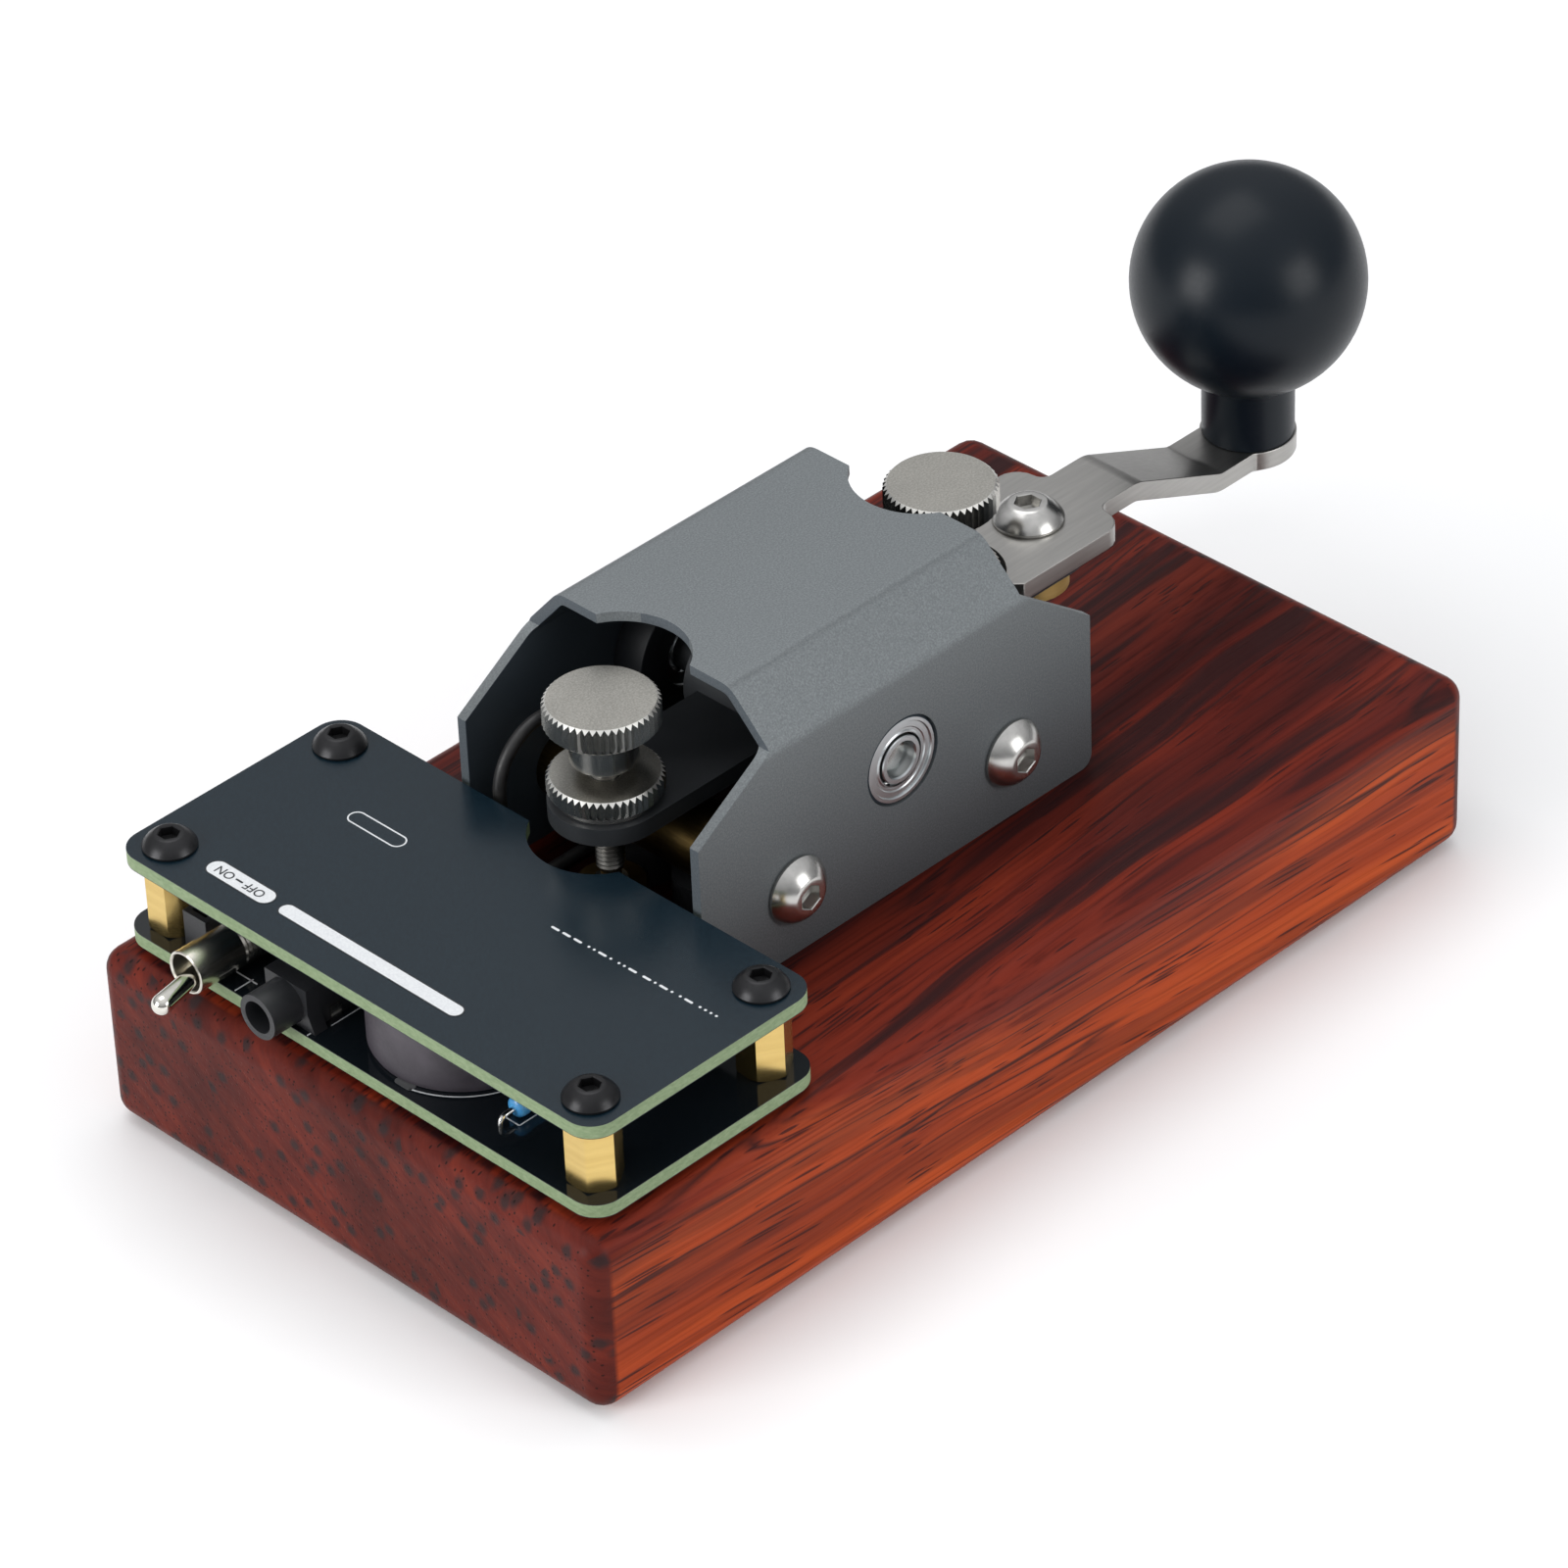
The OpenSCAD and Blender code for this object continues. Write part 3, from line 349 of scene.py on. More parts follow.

# Painted shade: the top is darkened under the cover, with a painted shadow beside it.
along = times(maths("ABSOLUTE", plus(height["X"], 0.0045)), 20)
across = times(maths("ABSOLUTE", height["Y"]), 20)
cover_shade = times(ramp(along, (0.62, 1.0), (0.72, 0.0)),
                ramp(across, (0.28, 1.0), (0.34, 0.54), (0.42, 0.34), (0.54, 0.0)))
tone = mixed("MULTIPLY", times(cover_shade, upper), tone, (0.14, 0.16, 0.20))
links.new(tone, shader.inputs["Base Color"])
links.new(ramp(fibre, (0.3, 0.50), (0.7, 0.38)), shader.inputs["Roughness"])
links.new(bumped(maths("SUBTRACT", fibre, pores), 0.04 * mm, 0.3), shader.inputs["Normal"])


def turned(rings, segments=48, matrix=None, bm=None, angle=32):
    """Rings of (radius, height), from the first to the last; either may be a rule of the angle."""
    bm = bm or bmesh.new()
    start = bmesh.ops.create_circle(bm, cap_ends=False, segments=segments, radius=1)["verts"]
    edges = list(dict.fromkeys(e for v in start for e in v.link_edges))
    made, ring = list(start), start
    for index, (radius, height) in enumerate(rings):
        if index:
            grown = bmesh.ops.extrude_edge_only(bm, edges=edges)["geom"]
            ring = [g for g in grown if isinstance(g, bmesh.types.BMVert)]
            inside = set(ring)
            edges = [g for g in grown
                     if isinstance(g, bmesh.types.BMEdge) and all(v in inside for v in g.verts)]
            made += ring
        for vert in ring:
            turn = atan2(vert.co.y, vert.co.x)
            reach = radius(turn) if callable(radius) else max(radius, 1e-4)
            level = height(turn) if callable(height) else height
            vert.co = Vector((reach * cos(turn), reach * sin(turn), level))
    bmesh.ops.remove_doubles(bm, verts=made, dist=0.001)
    made = [v for v in made if v.is_valid]
    to_metres = Matrix.Scale(mm, 4)
    bmesh.ops.transform(bm, matrix=to_metres if matrix is None else matrix @ to_metres, verts=made)
    bmesh.ops.recalc_face_normals(bm, faces=list(dict.fromkeys(f for v in made for f in v.link_faces)))
    shade(bm, angle)
    return bm


def at(x, y, z, toward=(0, 0, 1)):
    """Where a turned part's own zero goes, in mm, and which way its axis points."""
    return (Matrix.Translation(Vector((x, y, z)) * mm)
            @ Vector(toward).to_track_quat("Z", "Y").to_matrix().to_4x4())


def carved(bm, cutters):
    """The first shape less the second; both are used up."""
    pair = []
    for name, shape in (("carved_shape", bm), ("carving_shape", cutters)):
        mesh = bpy.data.meshes.new(name)
        shape.to_mesh(mesh)
        shape.free()
        pair.append(bpy.data.objects.new(name, mesh))
        scene.collection.objects.link(pair[-1])
    cut = pair[0].modifiers.new("cut", "BOOLEAN")
    cut.operation, cut.solver, cut.use_self, cut.object = "DIFFERENCE", "EXACT", True, pair[1]
    bpy.context.view_layer.update()
    mesh = bpy.data.meshes.new_from_object(pair[0].evaluated_get(bpy.context.evaluated_depsgraph_get()))
    for each in pair:
        bpy.data.objects.remove(each)
    bm = bmesh.new()
    bm.from_mesh(mesh)
    return bm


def block(bm, length, width, low_z, high_z):
    """A box standing on low_z, its sizes in mm."""
    place = Matrix.Translation((0, 0, (low_z + high_z) / 2 * mm))
    size = Matrix.Diagonal((length * mm, width * mm, (high_z - low_z) * mm, 1))
    bmesh.ops.create_cube(bm, size=1, matrix=place @ size)
    return bm


def rounded(bm, edges, radius, segments):
    bmesh.ops.bevel(bm, geom=edges, offset=radius * mm, offset_type="OFFSET", segments=segments,
                    profile=0.5, affect="EDGES", material=-1)


def upright_edges(edges, taller_than):
    """Those of the edges that climb by more than this, in metres."""
    return [e for e in edges if abs(e.verts[0].co.z - e.verts[1].co.z) > taller_than]


cutters = block(bmesh.new(), pad_l, pad_w, -pad_top, pad_top)
rounded(cutters, upright_edges(cutters.edges, mm), pad_corner, 8)
bar_places = [(x, y) for x in bar_xs for y in bar_screw_ys]
small_places = [(rear_x, 0), (front_x, 0), *((x, y) for x in stud_xs for y in stud_ys)]
for places, hole, sink, sink_top in ((bar_places, bar_hole, bar_sink, bar_sink_top),
                                     (small_places, small_hole, small_sink, small_sink_top)):
    for x, y in places:
        turned([(0, -1), (sink, -1), (sink, sink_top), (hole, sink_top), (hole, base_top + 1),
                (0, base_top + 1)], 40, at(x, y, 0), cutters)
bm = block(bmesh.new(), base_l, base_w, base_low, base_top)
rounded(bm, bm.edges[:], base_edge, 6)
bm = carved(bm, cutters)
shade(bm)
add_piece("base_block", bm, hardwood, "base", "wood", "wood_base", flat_faces=True)


# Non-slip sheet: black rubber with a fine moulded grid, cut to round corners and
# glued into the recess in the base's underside.
def paint_node(name, paint):
    """Gives a plain CAD node its material."""
    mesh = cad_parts[name].data
    mesh.materials.clear()
    mesh.materials.append(paint)


rubber, nodes, links, shader = material("rubber_sheet", roughness=0.85)
place = coordinates(nodes)
grid = cells(stretched(place, (700, 700, 100)), randomness=0.0)[0]
links.new(bumped(grid, 0.15 * mm), shader.inputs["Normal"])
links.new(ramp(noise(place, 90, 4), (0.3, (0.016, 0.016, 0.017)), (0.7, (0.034, 0.033, 0.033))),
          shader.inputs["Base Color"])
paint_node("non_slip_pad", rubber)


# Screws in the base: plain stainless steel, driven up from the counterbores
# underneath. Every turned metal part shares the fine machining marks made here.
def group_of(name, inputs, outputs):
    """A new shader node group with its named inputs and outputs."""
    made = bpy.data.node_groups.new(name, "ShaderNodeTree")
    for label, kind, value in inputs:
        socket = made.interface.new_socket(name=label, in_out="INPUT", socket_type=kind)
        if value is not None:
            socket.default_value = value
    for label, kind in outputs:
        made.interface.new_socket(name=label, in_out="OUTPUT", socket_type=kind)
    return made, made.nodes.new("NodeGroupInput"), made.nodes.new("NodeGroupOutput")


lines_group, given, result = group_of(
    "machined_lines", [("Scale", "NodeSocketVector", None), ("Depth", "NodeSocketFloat", 0.1)],
    [("Mask", "NodeSocketFloat"), ("Smudge", "NodeSocketFloat"), ("Normal", "NodeSocketVector")])
nodes, links = lines_group.nodes, lines_group.links
place = coordinates(nodes)
size = nodes.new("ShaderNodeVectorMath")
size.operation = "MULTIPLY"
links.new(place, size.inputs[0])
links.new(given.outputs["Scale"], size.inputs[1])
marks = noise(size.outputs[0], 1.0, 3.0)
mark_height = 0.02 * mm
links.new(marks, result.inputs["Mask"])
links.new(noise(place, 140.0, 2.0), result.inputs["Smudge"])
links.new(bumped(marks, mark_height, given.outputs["Depth"]), result.inputs["Normal"])


def use_group(nodes, group, **values):
    """The outputs of a group placed in a material with its own values."""
    made = nodes.new("ShaderNodeGroup")
    made.node_tree = group
    for key, value in values.items():
        made.inputs[key.title()].default_value = value
    return made.outputs


def metal(name, dark, light, rough, scale, depth, spread=0.08):
    """Bare metal whose colour and gloss wander a little along its machining marks."""
    made, nodes, links, shader = material(name, metallic=1.0)
    marks = use_group(nodes, lines_group, scale=scale, depth=depth)
    links.new(ramp(marks["Mask"], (0.3, dark), (0.7, light)), shader.inputs["Base Color"])
    links.new(plus(times(marks["Smudge"], spread), rough - spread / 2), shader.inputs["Roughness"])
    links.new(marks["Normal"], shader.inputs["Normal"])
    return made


bare_steel = metal("bare_steel", (0.44, 0.44, 0.43), (0.60, 0.60, 0.59), 0.30, (500, 500, 2500), 0.15)
for name in ("post_screws", "bar_screws", "board_base_screws"):
    paint_node(name, bare_steel)


# Contact posts: turned brass, screwed up from below, each with a bright contact pad,
# and the pads' silver-coloured mates are the tips of the two adjusting screws.
# A darkened copy of brass: painted shade for the posts and cross bars inside the cover.
shaded_brass = metal("shaded_brass", (0.055, 0.037, 0.014), (0.100, 0.067, 0.024), 0.40, (300, 300, 2600), 0.04)
contact_metal = metal("contact_metal", (0.66, 0.62, 0.52), (0.80, 0.76, 0.66), 0.18, (900, 900, 900), 0.08)
post_r, post_bore, post_top, contact_r, contact_t = 3.8, 1.6, 26.7, 1.8, 0.4
posts, contacts = bmesh.new(), bmesh.new()
for x in (rear_x, front_x):
    turned([(post_bore, base_top), (post_r, base_top), (post_r, post_top - 0.3), (post_r - 0.3, post_top),
            (0, post_top)], 48, at(x, 0, 0), posts)
    turned([(contact_r, post_top), (contact_r, post_top + contact_t - 0.08),
            (contact_r - 0.1, post_top + contact_t), (0, post_top + contact_t)], 32, at(x, 0, 0), contacts)
add_piece("post_bodies", posts, shaded_brass, "base", "brass", "contact_posts")
add_piece("post_contacts", contacts, contact_metal, "base", "contact", "post_pads")


# Cross bars: round brass with a flat underneath, held off the wood by black spacers;
# the cover's four screws go into their ends.
speckle_group, given, result = group_of(
    "fine_speckle", [("Grain", "NodeSocketFloat", 4000.0), ("Depth", "NodeSocketFloat", 0.01),
                     ("Cloud", "NodeSocketFloat", 60.0)],
    [("Mask", "NodeSocketFloat"), ("Cloud", "NodeSocketFloat"), ("Normal", "NodeSocketVector")])
place = coordinates(speckle_group.nodes)
grain = noise(place, given.outputs["Grain"], 2.0)
links = speckle_group.links
links.new(grain, result.inputs["Mask"])
links.new(noise(place, given.outputs["Cloud"], 3.0), result.inputs["Cloud"])
links.new(bumped(grain, mark_height, given.outputs["Depth"]), result.inputs["Normal"])


def speckled(name, grain, depth, cloud, tones, rough=None, tone_from="Cloud", rough_from="Mask",
             stops=(0.3, 0.7), **values):
    """A moulded, painted or plated surface: its colour and gloss wander between the values given,
    and with a depth it is finely rough."""
    made, nodes, links, shader = material(name, **values)
    speckle = use_group(nodes, speckle_group, grain=grain, depth=depth, cloud=cloud)
    links.new(ramp(speckle[tone_from], *zip(stops, tones)), shader.inputs["Base Color"])
    if rough:
        links.new(ramp(speckle[rough_from], *zip((0.3, 0.7), rough)), shader.inputs["Roughness"])
    if depth:
        links.new(speckle["Normal"], shader.inputs["Normal"])
    return made


def node_copy(name):
    """A CAD node's shape, merged, to be finished with softer edges."""
    bm = bmesh.new()
    bm.from_mesh(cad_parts[name].data)
    bmesh.ops.remove_doubles(bm, verts=bm.verts, dist=0.002 * mm)
    bmesh.ops.dissolve_limit(bm, angle_limit=radians(0.5), verts=bm.verts, edges=bm.edges)
    for face in bm.faces:
        face.material_index = 0
    return bm


def soften(bm, width, angle=32, segments=2):
    """Breaks the sharp edges by a small round, as a deburred edge has."""
    edges = [e for e in bm.edges if len(e.link_faces) == 2 and e.calc_face_angle() > radians(angle)]
    bmesh.ops.bevel(bm, geom=edges, offset=width, offset_type="OFFSET", segments=segments,
                    profile=0.5, affect="EDGES", material=-1, clamp_overlap=True)
    shade(bm, 50)


def softened_piece(cad_node, width, name, paint, body, slot, angle=32, flat_faces=False):
    """The CAD node's own shape with its sharp edges broken."""
    bm = node_copy(cad_node)
    soften(bm, width * mm, angle)
    return add_piece(name, bm, paint, body, slot, cad_node, flat_faces=flat_faces)


black_plastic = speckled("black_plastic", 5000, 0.35, 90, ((0.013, 0.014, 0.016), (0.024, 0.025, 0.028)),
                         (0.38, 0.50), specular_ior_level=0.45)
# The cross bars take the darkened brass, as painted shade under the cover.
softened_piece("cross_bars", 0.15, "bars", shaded_brass, "base", "brass")
for name in ("bar_spacers", "board_washers"):
    paint_node(name, black_plastic)


# Cover: one folded sheet of 1.2 mm aluminium, bead-blasted and anodised blue-grey, with painted
# shade darkening its sides towards the bottom, and a thin painted shade line and a painted highlight line
# along its folds.
anodised, nodes, links, shader = material("anodised_sheet", metallic=0.1, specular_ior_level=0.35)
speckle = use_group(nodes, speckle_group, grain=5200, depth=0.35, cloud=35)
tone = ramp(speckle["Mask"], (0.30, (0.158, 0.175, 0.183)), (0.50, (0.194, 0.213, 0.221)),
            (0.72, (0.248, 0.270, 0.279)))
tone = mixed("MULTIPLY", 1.0, tone, ramp(speckle["Cloud"], (0.3, 0.92), (0.7, 1.0)))
height = parts_of(coordinates(nodes))
rise = times(height["Z"], 15)
# Painted light by height: shade darkens the sides towards the bottom, a painted highlight lines the lower
# fold, and the slopes and top are toned a little darker.
painted_light_by_height = ramp(rise, (0.315, (0.38, 0.36, 0.37)), (0.45, (0.53, 0.53, 0.54)), (0.63, 0.72), (0.692, 0.80),
                 (0.706, 1.0), (0.716, 0.95), (0.780, 0.95), (0.792, 0.90))
tone = mixed("MULTIPLY", 1.0, tone, painted_light_by_height)
across = times(maths("ABSOLUTE", height["Y"]), 20)
# Painted shade: a thin dark line along the upper folds.
painted_crease_shade = ramp(across, (0.231, 1.0), (0.237, 0.82), (0.241, 0.82), (0.247, 1.0))
links.new(mixed("MULTIPLY", 1.0, tone, painted_crease_shade), shader.inputs["Base Color"])
links.new(ramp(speckle["Cloud"], (0.3, 0.46), (0.7, 0.54)), shader.inputs["Roughness"])
links.new(speckle["Normal"], shader.inputs["Normal"])
# Painted shade: a near-black copy of the sheet's colour for the faces inside the cover, and for the dark gap
# round the bearings.
painted_shade_dark = speckled("painted_shade_dark", 5200, 0.3, 60, ((0.044, 0.057, 0.070), (0.064, 0.080, 0.096)),
                        (0.42, 0.52), metallic=0.1, specular_ior_level=0.3)
cut_edge = speckled("sheet_cut_edge", 5200, 0.35, 160, ((0.085, 0.100, 0.114), (0.125, 0.145, 0.162)),
                    tone_from="Mask", metallic=0.1, specular_ior_level=0.35, roughness=0.55)
cover_half, tunnel_z, rim_round = 17.1, 30.0, 0.32


def faces_inward(face):
    """Whether a face of the cover looks towards the middle of its tunnel."""
    inward = Vector((0, 0, tunnel_z * mm)) - face.calc_center_median()
    inward.x = 0
    return face.normal.dot(inward.normalized()) > 0.25


bm = node_copy("cover")
# The inner rims get a wider round, painted with the inside's painted shade, so the cut edges show thinner.
inner_rim = [e for e in bm.edges if len(e.link_faces) == 2 and e.calc_face_angle() > radians(60)
             and faces_inward(e.link_faces[0]) != faces_inward(e.link_faces[1])]
bmesh.ops.bevel(bm, geom=inner_rim, offset=rim_round * mm, offset_type="OFFSET", segments=2, profile=0.5,
                affect="EDGES", material=-1, clamp_overlap=True)
soften(bm, 0.12 * mm, angle=48)
# Faces that look into the tunnel take the painted shade; the cut ends take the cut edge's colour.
for face in bm.faces:
    if faces_inward(face):
        face.material_index = 1
    elif abs(face.normal.x) > 0.9:
        face.material_index = 2
add_piece("cover_sheet", bm, [anodised, painted_shade_dark, cut_edge], "base", "cover", "cover", flat_faces=True)


# Button-head screws: polished stainless steel with a hexagonal socket. Four hold the
# cover's sides, one the handle and one, from below, the knob.
def hexagon(across, wider=0.0):
    """A hexagon's radius at any angle, from its width across the flats, made wider all round."""
    return lambda turn: across / 2 / cos((turn + pi / 6) % (pi / 3) - pi / 6) + wider


def button_head(radius, head_r, head_h, key, length, matrix, bm):
    """A domed head with its rim, socket and shank, from a spherical cap through the rim and the flat."""
    rim, flat, dome_steps = 0.18 * head_h, 0.52 * head_r, 8
    centre = (head_r ** 2 + rim ** 2 - flat ** 2 - head_h ** 2) / (2 * (rim - head_h))
    ball = sqrt(head_r ** 2 + (rim - centre) ** 2)
    first, last = atan2(rim - centre, head_r), atan2(head_h - centre, flat)
    angles = [first + (last - first) * i / dome_steps for i in range(dome_steps)]
    dome = [(ball * cos(a), centre + ball * sin(a)) for a in angles]
    socket, lip, floor_z = hexagon(key), hexagon(key, 0.1), head_h * 0.38
    rings = [(0, -length), (radius * 0.8, -length), (radius, -length + 0.3), (radius, 0), (head_r - 0.12, 0),
             (head_r, 0.12), *dome, (flat + 0.12, head_h - 0.05), (flat - 0.08, head_h), (lip, head_h),
             (socket, head_h - 0.1), (socket, floor_z), (0, floor_z - 0.25)]
    return turned(rings, 48, matrix, bm, angle=28)


polished_steel = metal("polished_steel", (0.50, 0.495, 0.475), (0.60, 0.59, 0.57), 0.25, (900, 900, 900),
                       0.03)
large_head, bar_z, cover_shank = (2, 3.8, 2.2, 2.5), 29.1, 8
bm = bmesh.new()
for x in bar_xs:
    for s in (-1, 1):
        button_head(*large_head, cover_shank, at(x, s * cover_half, bar_z, (0, s, 0)), bm)
add_piece("cover_screw_set", bm, polished_steel, "base", "steel", "cover_screws")


# Pivot bearings: bright outer ring, shield with a turned groove, and inner ring, in
# black housings behind the cover's sides; the axle's end is sunk in the inner ring.
black_metal = speckled("black_anodised", 3500, 0.25, 70, ((0.007, 0.008, 0.010), (0.014, 0.016, 0.019)),
                       (0.44, 0.54), specular_ior_level=0.3)
softened_piece("bearing_housings", 0.15, "housings", black_metal, "base", "black_metal")
ring_steel = metal("ring_steel", (0.50, 0.53, 0.54), (0.54, 0.57, 0.58), 0.30, (700, 700, 700), 0.0, 0.02)
pivot_x, pivot_z, bearing_face, bearing_w, gap_shade_from = -1.4, 36.4, 16.95, 4.0, 4.78
outer, shield, inner = bmesh.new(), bmesh.new(), bmesh.new()
for s in (-1, 1):
    seat = at(pivot_x, s * bearing_face, pivot_z, (0, -s, 0))
    turned([(4.25, 0.12), (4.35, 0), (4.7, 0), (5, 0.4), (5, bearing_w - 0.4), (4.7, bearing_w),
            (4.35, bearing_w), (4.25, bearing_w - 0.12), (4.25, 0.12)], 72, seat, outer)
    for z in (0.2, bearing_w - 0.4):
        turned([(3.0, z), (3.1, z), (3.25, z + 0.1), (3.5, z + 0.1), (3.62, z), (4.25, z), (4.25, z + 0.2),
                (3.0, z + 0.2), (3.0, z)], 72, seat, shield)
    turned([(2.01, 0.2), (2.15, 0), (2.6, 0), (2.7, 0.1), (2.7, bearing_w - 0.1), (2.6, bearing_w),
            (2.15, bearing_w), (2.01, bearing_w - 0.2), (2.01, 0.2)], 72, seat, inner)
# Painted shade: the outer ring's outer chamfer and rim take the dark inside colour, as a dark gap round the
# ring.
for face in outer.faces:
    from_axis = (face.calc_center_median() - Vector((pivot_x, 0, pivot_z)) * mm) * Vector((1, 0, 1))
    face.material_index = 1 if from_axis.length > gap_shade_from * mm else 0
add_piece("outer_rings", outer, [ring_steel, painted_shade_dark], "base", "steel", "bearing_outer_rings")
add_piece("shields", shield, ring_steel, "base", "steel", "bearing_shields")
add_piece("inner_rings", inner, ring_steel, "lever", "steel", "bearing_inner_rings")
paint_node("bearing_balls", bare_steel)
axle_end = 15.6
bm = turned([(0, -axle_end), (1.7, -axle_end), (2, -axle_end + 0.3), (2, axle_end - 0.3), (1.7, axle_end),
             (0, axle_end)], 48, at(pivot_x, 0, pivot_z, (0, 1, 0)))
add_piece("axle_rod", bm, polished_steel, "lever", "steel", "axle")


# Lever: a flat black bar with round ends and a hub round the axle, and the brass
# boss under its front end that the handle's screw goes into.
black_nickel = speckled("black_nickel", 3500, 0.2, 80, ((0.030, 0.033, 0.037), (0.055, 0.059, 0.064)),
                        (0.36, 0.46), metallic=0.35, specular_ior_level=0.5)
softened_piece("lever_bar", 0.15, "lever_body", black_nickel, "lever", "black_metal", flat_faces=True)
satin_brass = metal("satin_brass", (0.70, 0.50, 0.18), (0.78, 0.58, 0.23), 0.45, (60, 60, 1500), 0.02)
handle_x, lever_low, boss_r, boss_h = 35.3, 35.2, 4.2, 3.8
boss_low = lever_low - boss_h
bm = turned([(2.03, boss_low), (2.3, boss_low), (boss_r - 0.3, boss_low), (boss_r, boss_low + 0.3),
             (boss_r, lever_low), (2.03, lever_low), (2.03, boss_low)], 48, at(handle_x, 0, 0))
add_piece("boss", bm, satin_brass, "lever", "brass", "threaded_boss")


# Handle: a stainless plate, brushed along its length and stepped down to the knob,
# with one button-head screw in the lever and one up into the knob.
brushed = metal("brushed_stainless", (0.395, 0.385, 0.37), (0.445, 0.435, 0.415), 0.34, (200, 2600, 2600),
                0.08, spread=0.14)
softened_piece("handle_plate", 0.15, "handle_bar", brushed, "lever", "brushed_plate", angle=40,
               flat_faces=True)
plate_top, plate_t, knob_x, arm_top, handle_shank, knob_shank = 39.4, 2.2, 69.5, 34.0, 8.4, 14.2
bm = button_head(*large_head, handle_shank, at(handle_x, 0, plate_top), None)
add_piece("handle_button", bm, polished_steel, "lever", "steel", "handle_screw")
bm = button_head(*large_head, knob_shank, at(knob_x, 0, arm_top - plate_t, (0, 0, -1)), None)
add_piece("knob_button", bm, polished_steel, "lever", "steel", "knob_screw")


# Knob: a satin black ball on a short neck, moulded in one piece of hard
# plastic and screwed down on the handle's end.
satin_black = speckled("satin_black", 2600, 0.12, 50, ((0.0018, 0.0054, 0.0098), (0.0034, 0.0076, 0.0130)),
                       (0.32, 0.37), specular_ior_level=0.24)
ball_r, neck_r, ball_z, fillet, fillet_steps, ball_steps = 12.6, 5.0, 52.6, 0.8, 6, 40
low = acos((neck_r + fillet) / (ball_r + fillet))
fillet_z = ball_z - (ball_r + fillet) * sin(low)
bends = [low * i / fillet_steps for i in range(fillet_steps)]
throat = [(neck_r + fillet - fillet * cos(a), fillet_z + fillet * sin(a)) for a in bends]
rises = [-low + (low + pi / 2) * i / ball_steps for i in range(ball_steps)]
crown = [(ball_r * cos(a), ball_z + ball_r * sin(a)) for a in rises]
bm = turned([(2.03, arm_top), (neck_r - 0.1, arm_top), (neck_r, arm_top + 0.1), *throat, *crown,
             (0, ball_z + ball_r)], 96, at(knob_x, 0, 0), angle=40)
add_piece("ball_grip", bm, satin_black, "lever", "knob", "ball_knob")


# Adjusting screws: turned nickel-coloured thumbscrews with a straight-knurled head, a painted
# highlight on the rim's bevel where it crosses the cut teeth, and a fine thread, in painted shade, down to
# the tip.
nickel = speckled("satin_nickel", 5200, 0.3, 260,
                  ((0.38, 0.365, 0.33), (0.47, 0.455, 0.415), (0.57, 0.555, 0.515)), (0.30, 0.40),
                  tone_from="Mask", rough_from="Cloud", stops=(0.28, 0.5, 0.72), metallic=1.0)
cut_nickel = metal("cut_nickel", (0.47, 0.46, 0.43), (0.57, 0.56, 0.53), 0.23, (300, 300, 900), 0.01)
# A lighter copy of the nickel: a painted highlight on the chamfer facets.
highlight_nickel = metal("highlight_nickel", (0.74, 0.73, 0.69), (0.84, 0.83, 0.79), 0.42, (300, 300, 900), 0.01)
# A darker copy of the nickel: painted shade on the thread under the cover.
shaded_thread_nickel = metal("shaded_thread_nickel", (0.20, 0.195, 0.18), (0.28, 0.27, 0.25), 0.32, (300, 300, 900), 0.01)
thumb_r, tooth, teeth = 6.0, 0.42, 48


def knurl(turn):
    """The rim's radius at any angle, out and in by turns."""
    return thumb_r if round(turn / (pi / teeth)) % 2 == 0 else thumb_r - tooth


def knurled(rings_below, low_z, high_z, rings_above, matrix, bm):
    """A knurled disc: satin on its flats, cut teeth on its rim, a painted highlight where a chamfer crosses
    them.
    """
    inner_r = thumb_r - tooth - 0.02
    bm = turned([*rings_below, (inner_r, low_z), (knurl, lambda turn: low_z + knurl(turn) - inner_r),
                 (knurl, lambda turn: high_z - knurl(turn) + inner_r), (inner_r, high_z), *rings_above],
                2 * teeth, matrix, bm, angle=20)
    for face in bm.faces:
        slope = abs(face.normal.z)
        face.material_index = 0 if slope > 0.95 else 2 if slope > 0.5 else 1
    return bm


def thread(bm, radius, depth, pitch, low_z, high_z, x):
    """A screw thread: one tooth's outline wound up the shank."""
    outline = [bm.verts.new((x + r, 0, z)) for r, z in
               ((radius - depth, low_z), (radius, low_z + pitch * 0.45), (radius, low_z + pitch * 0.55),
                (radius - depth, low_z + pitch))]
    for vert in outline:
        vert.co *= mm
    edges = [bm.edges.new(pair) for pair in zip(outline, outline[1:])]
    turns = (high_z - low_z) / pitch - 1
    steps = int(turns * 20)
    bmesh.ops.spin(bm, geom=outline + edges, cent=(x * mm, 0, 0), axis=(0, 0, 1), angle=2 * pi * turns,
                   dvec=(0, 0, pitch * turns / steps * mm), steps=steps, use_merge=False,
                   use_duplicate=False)


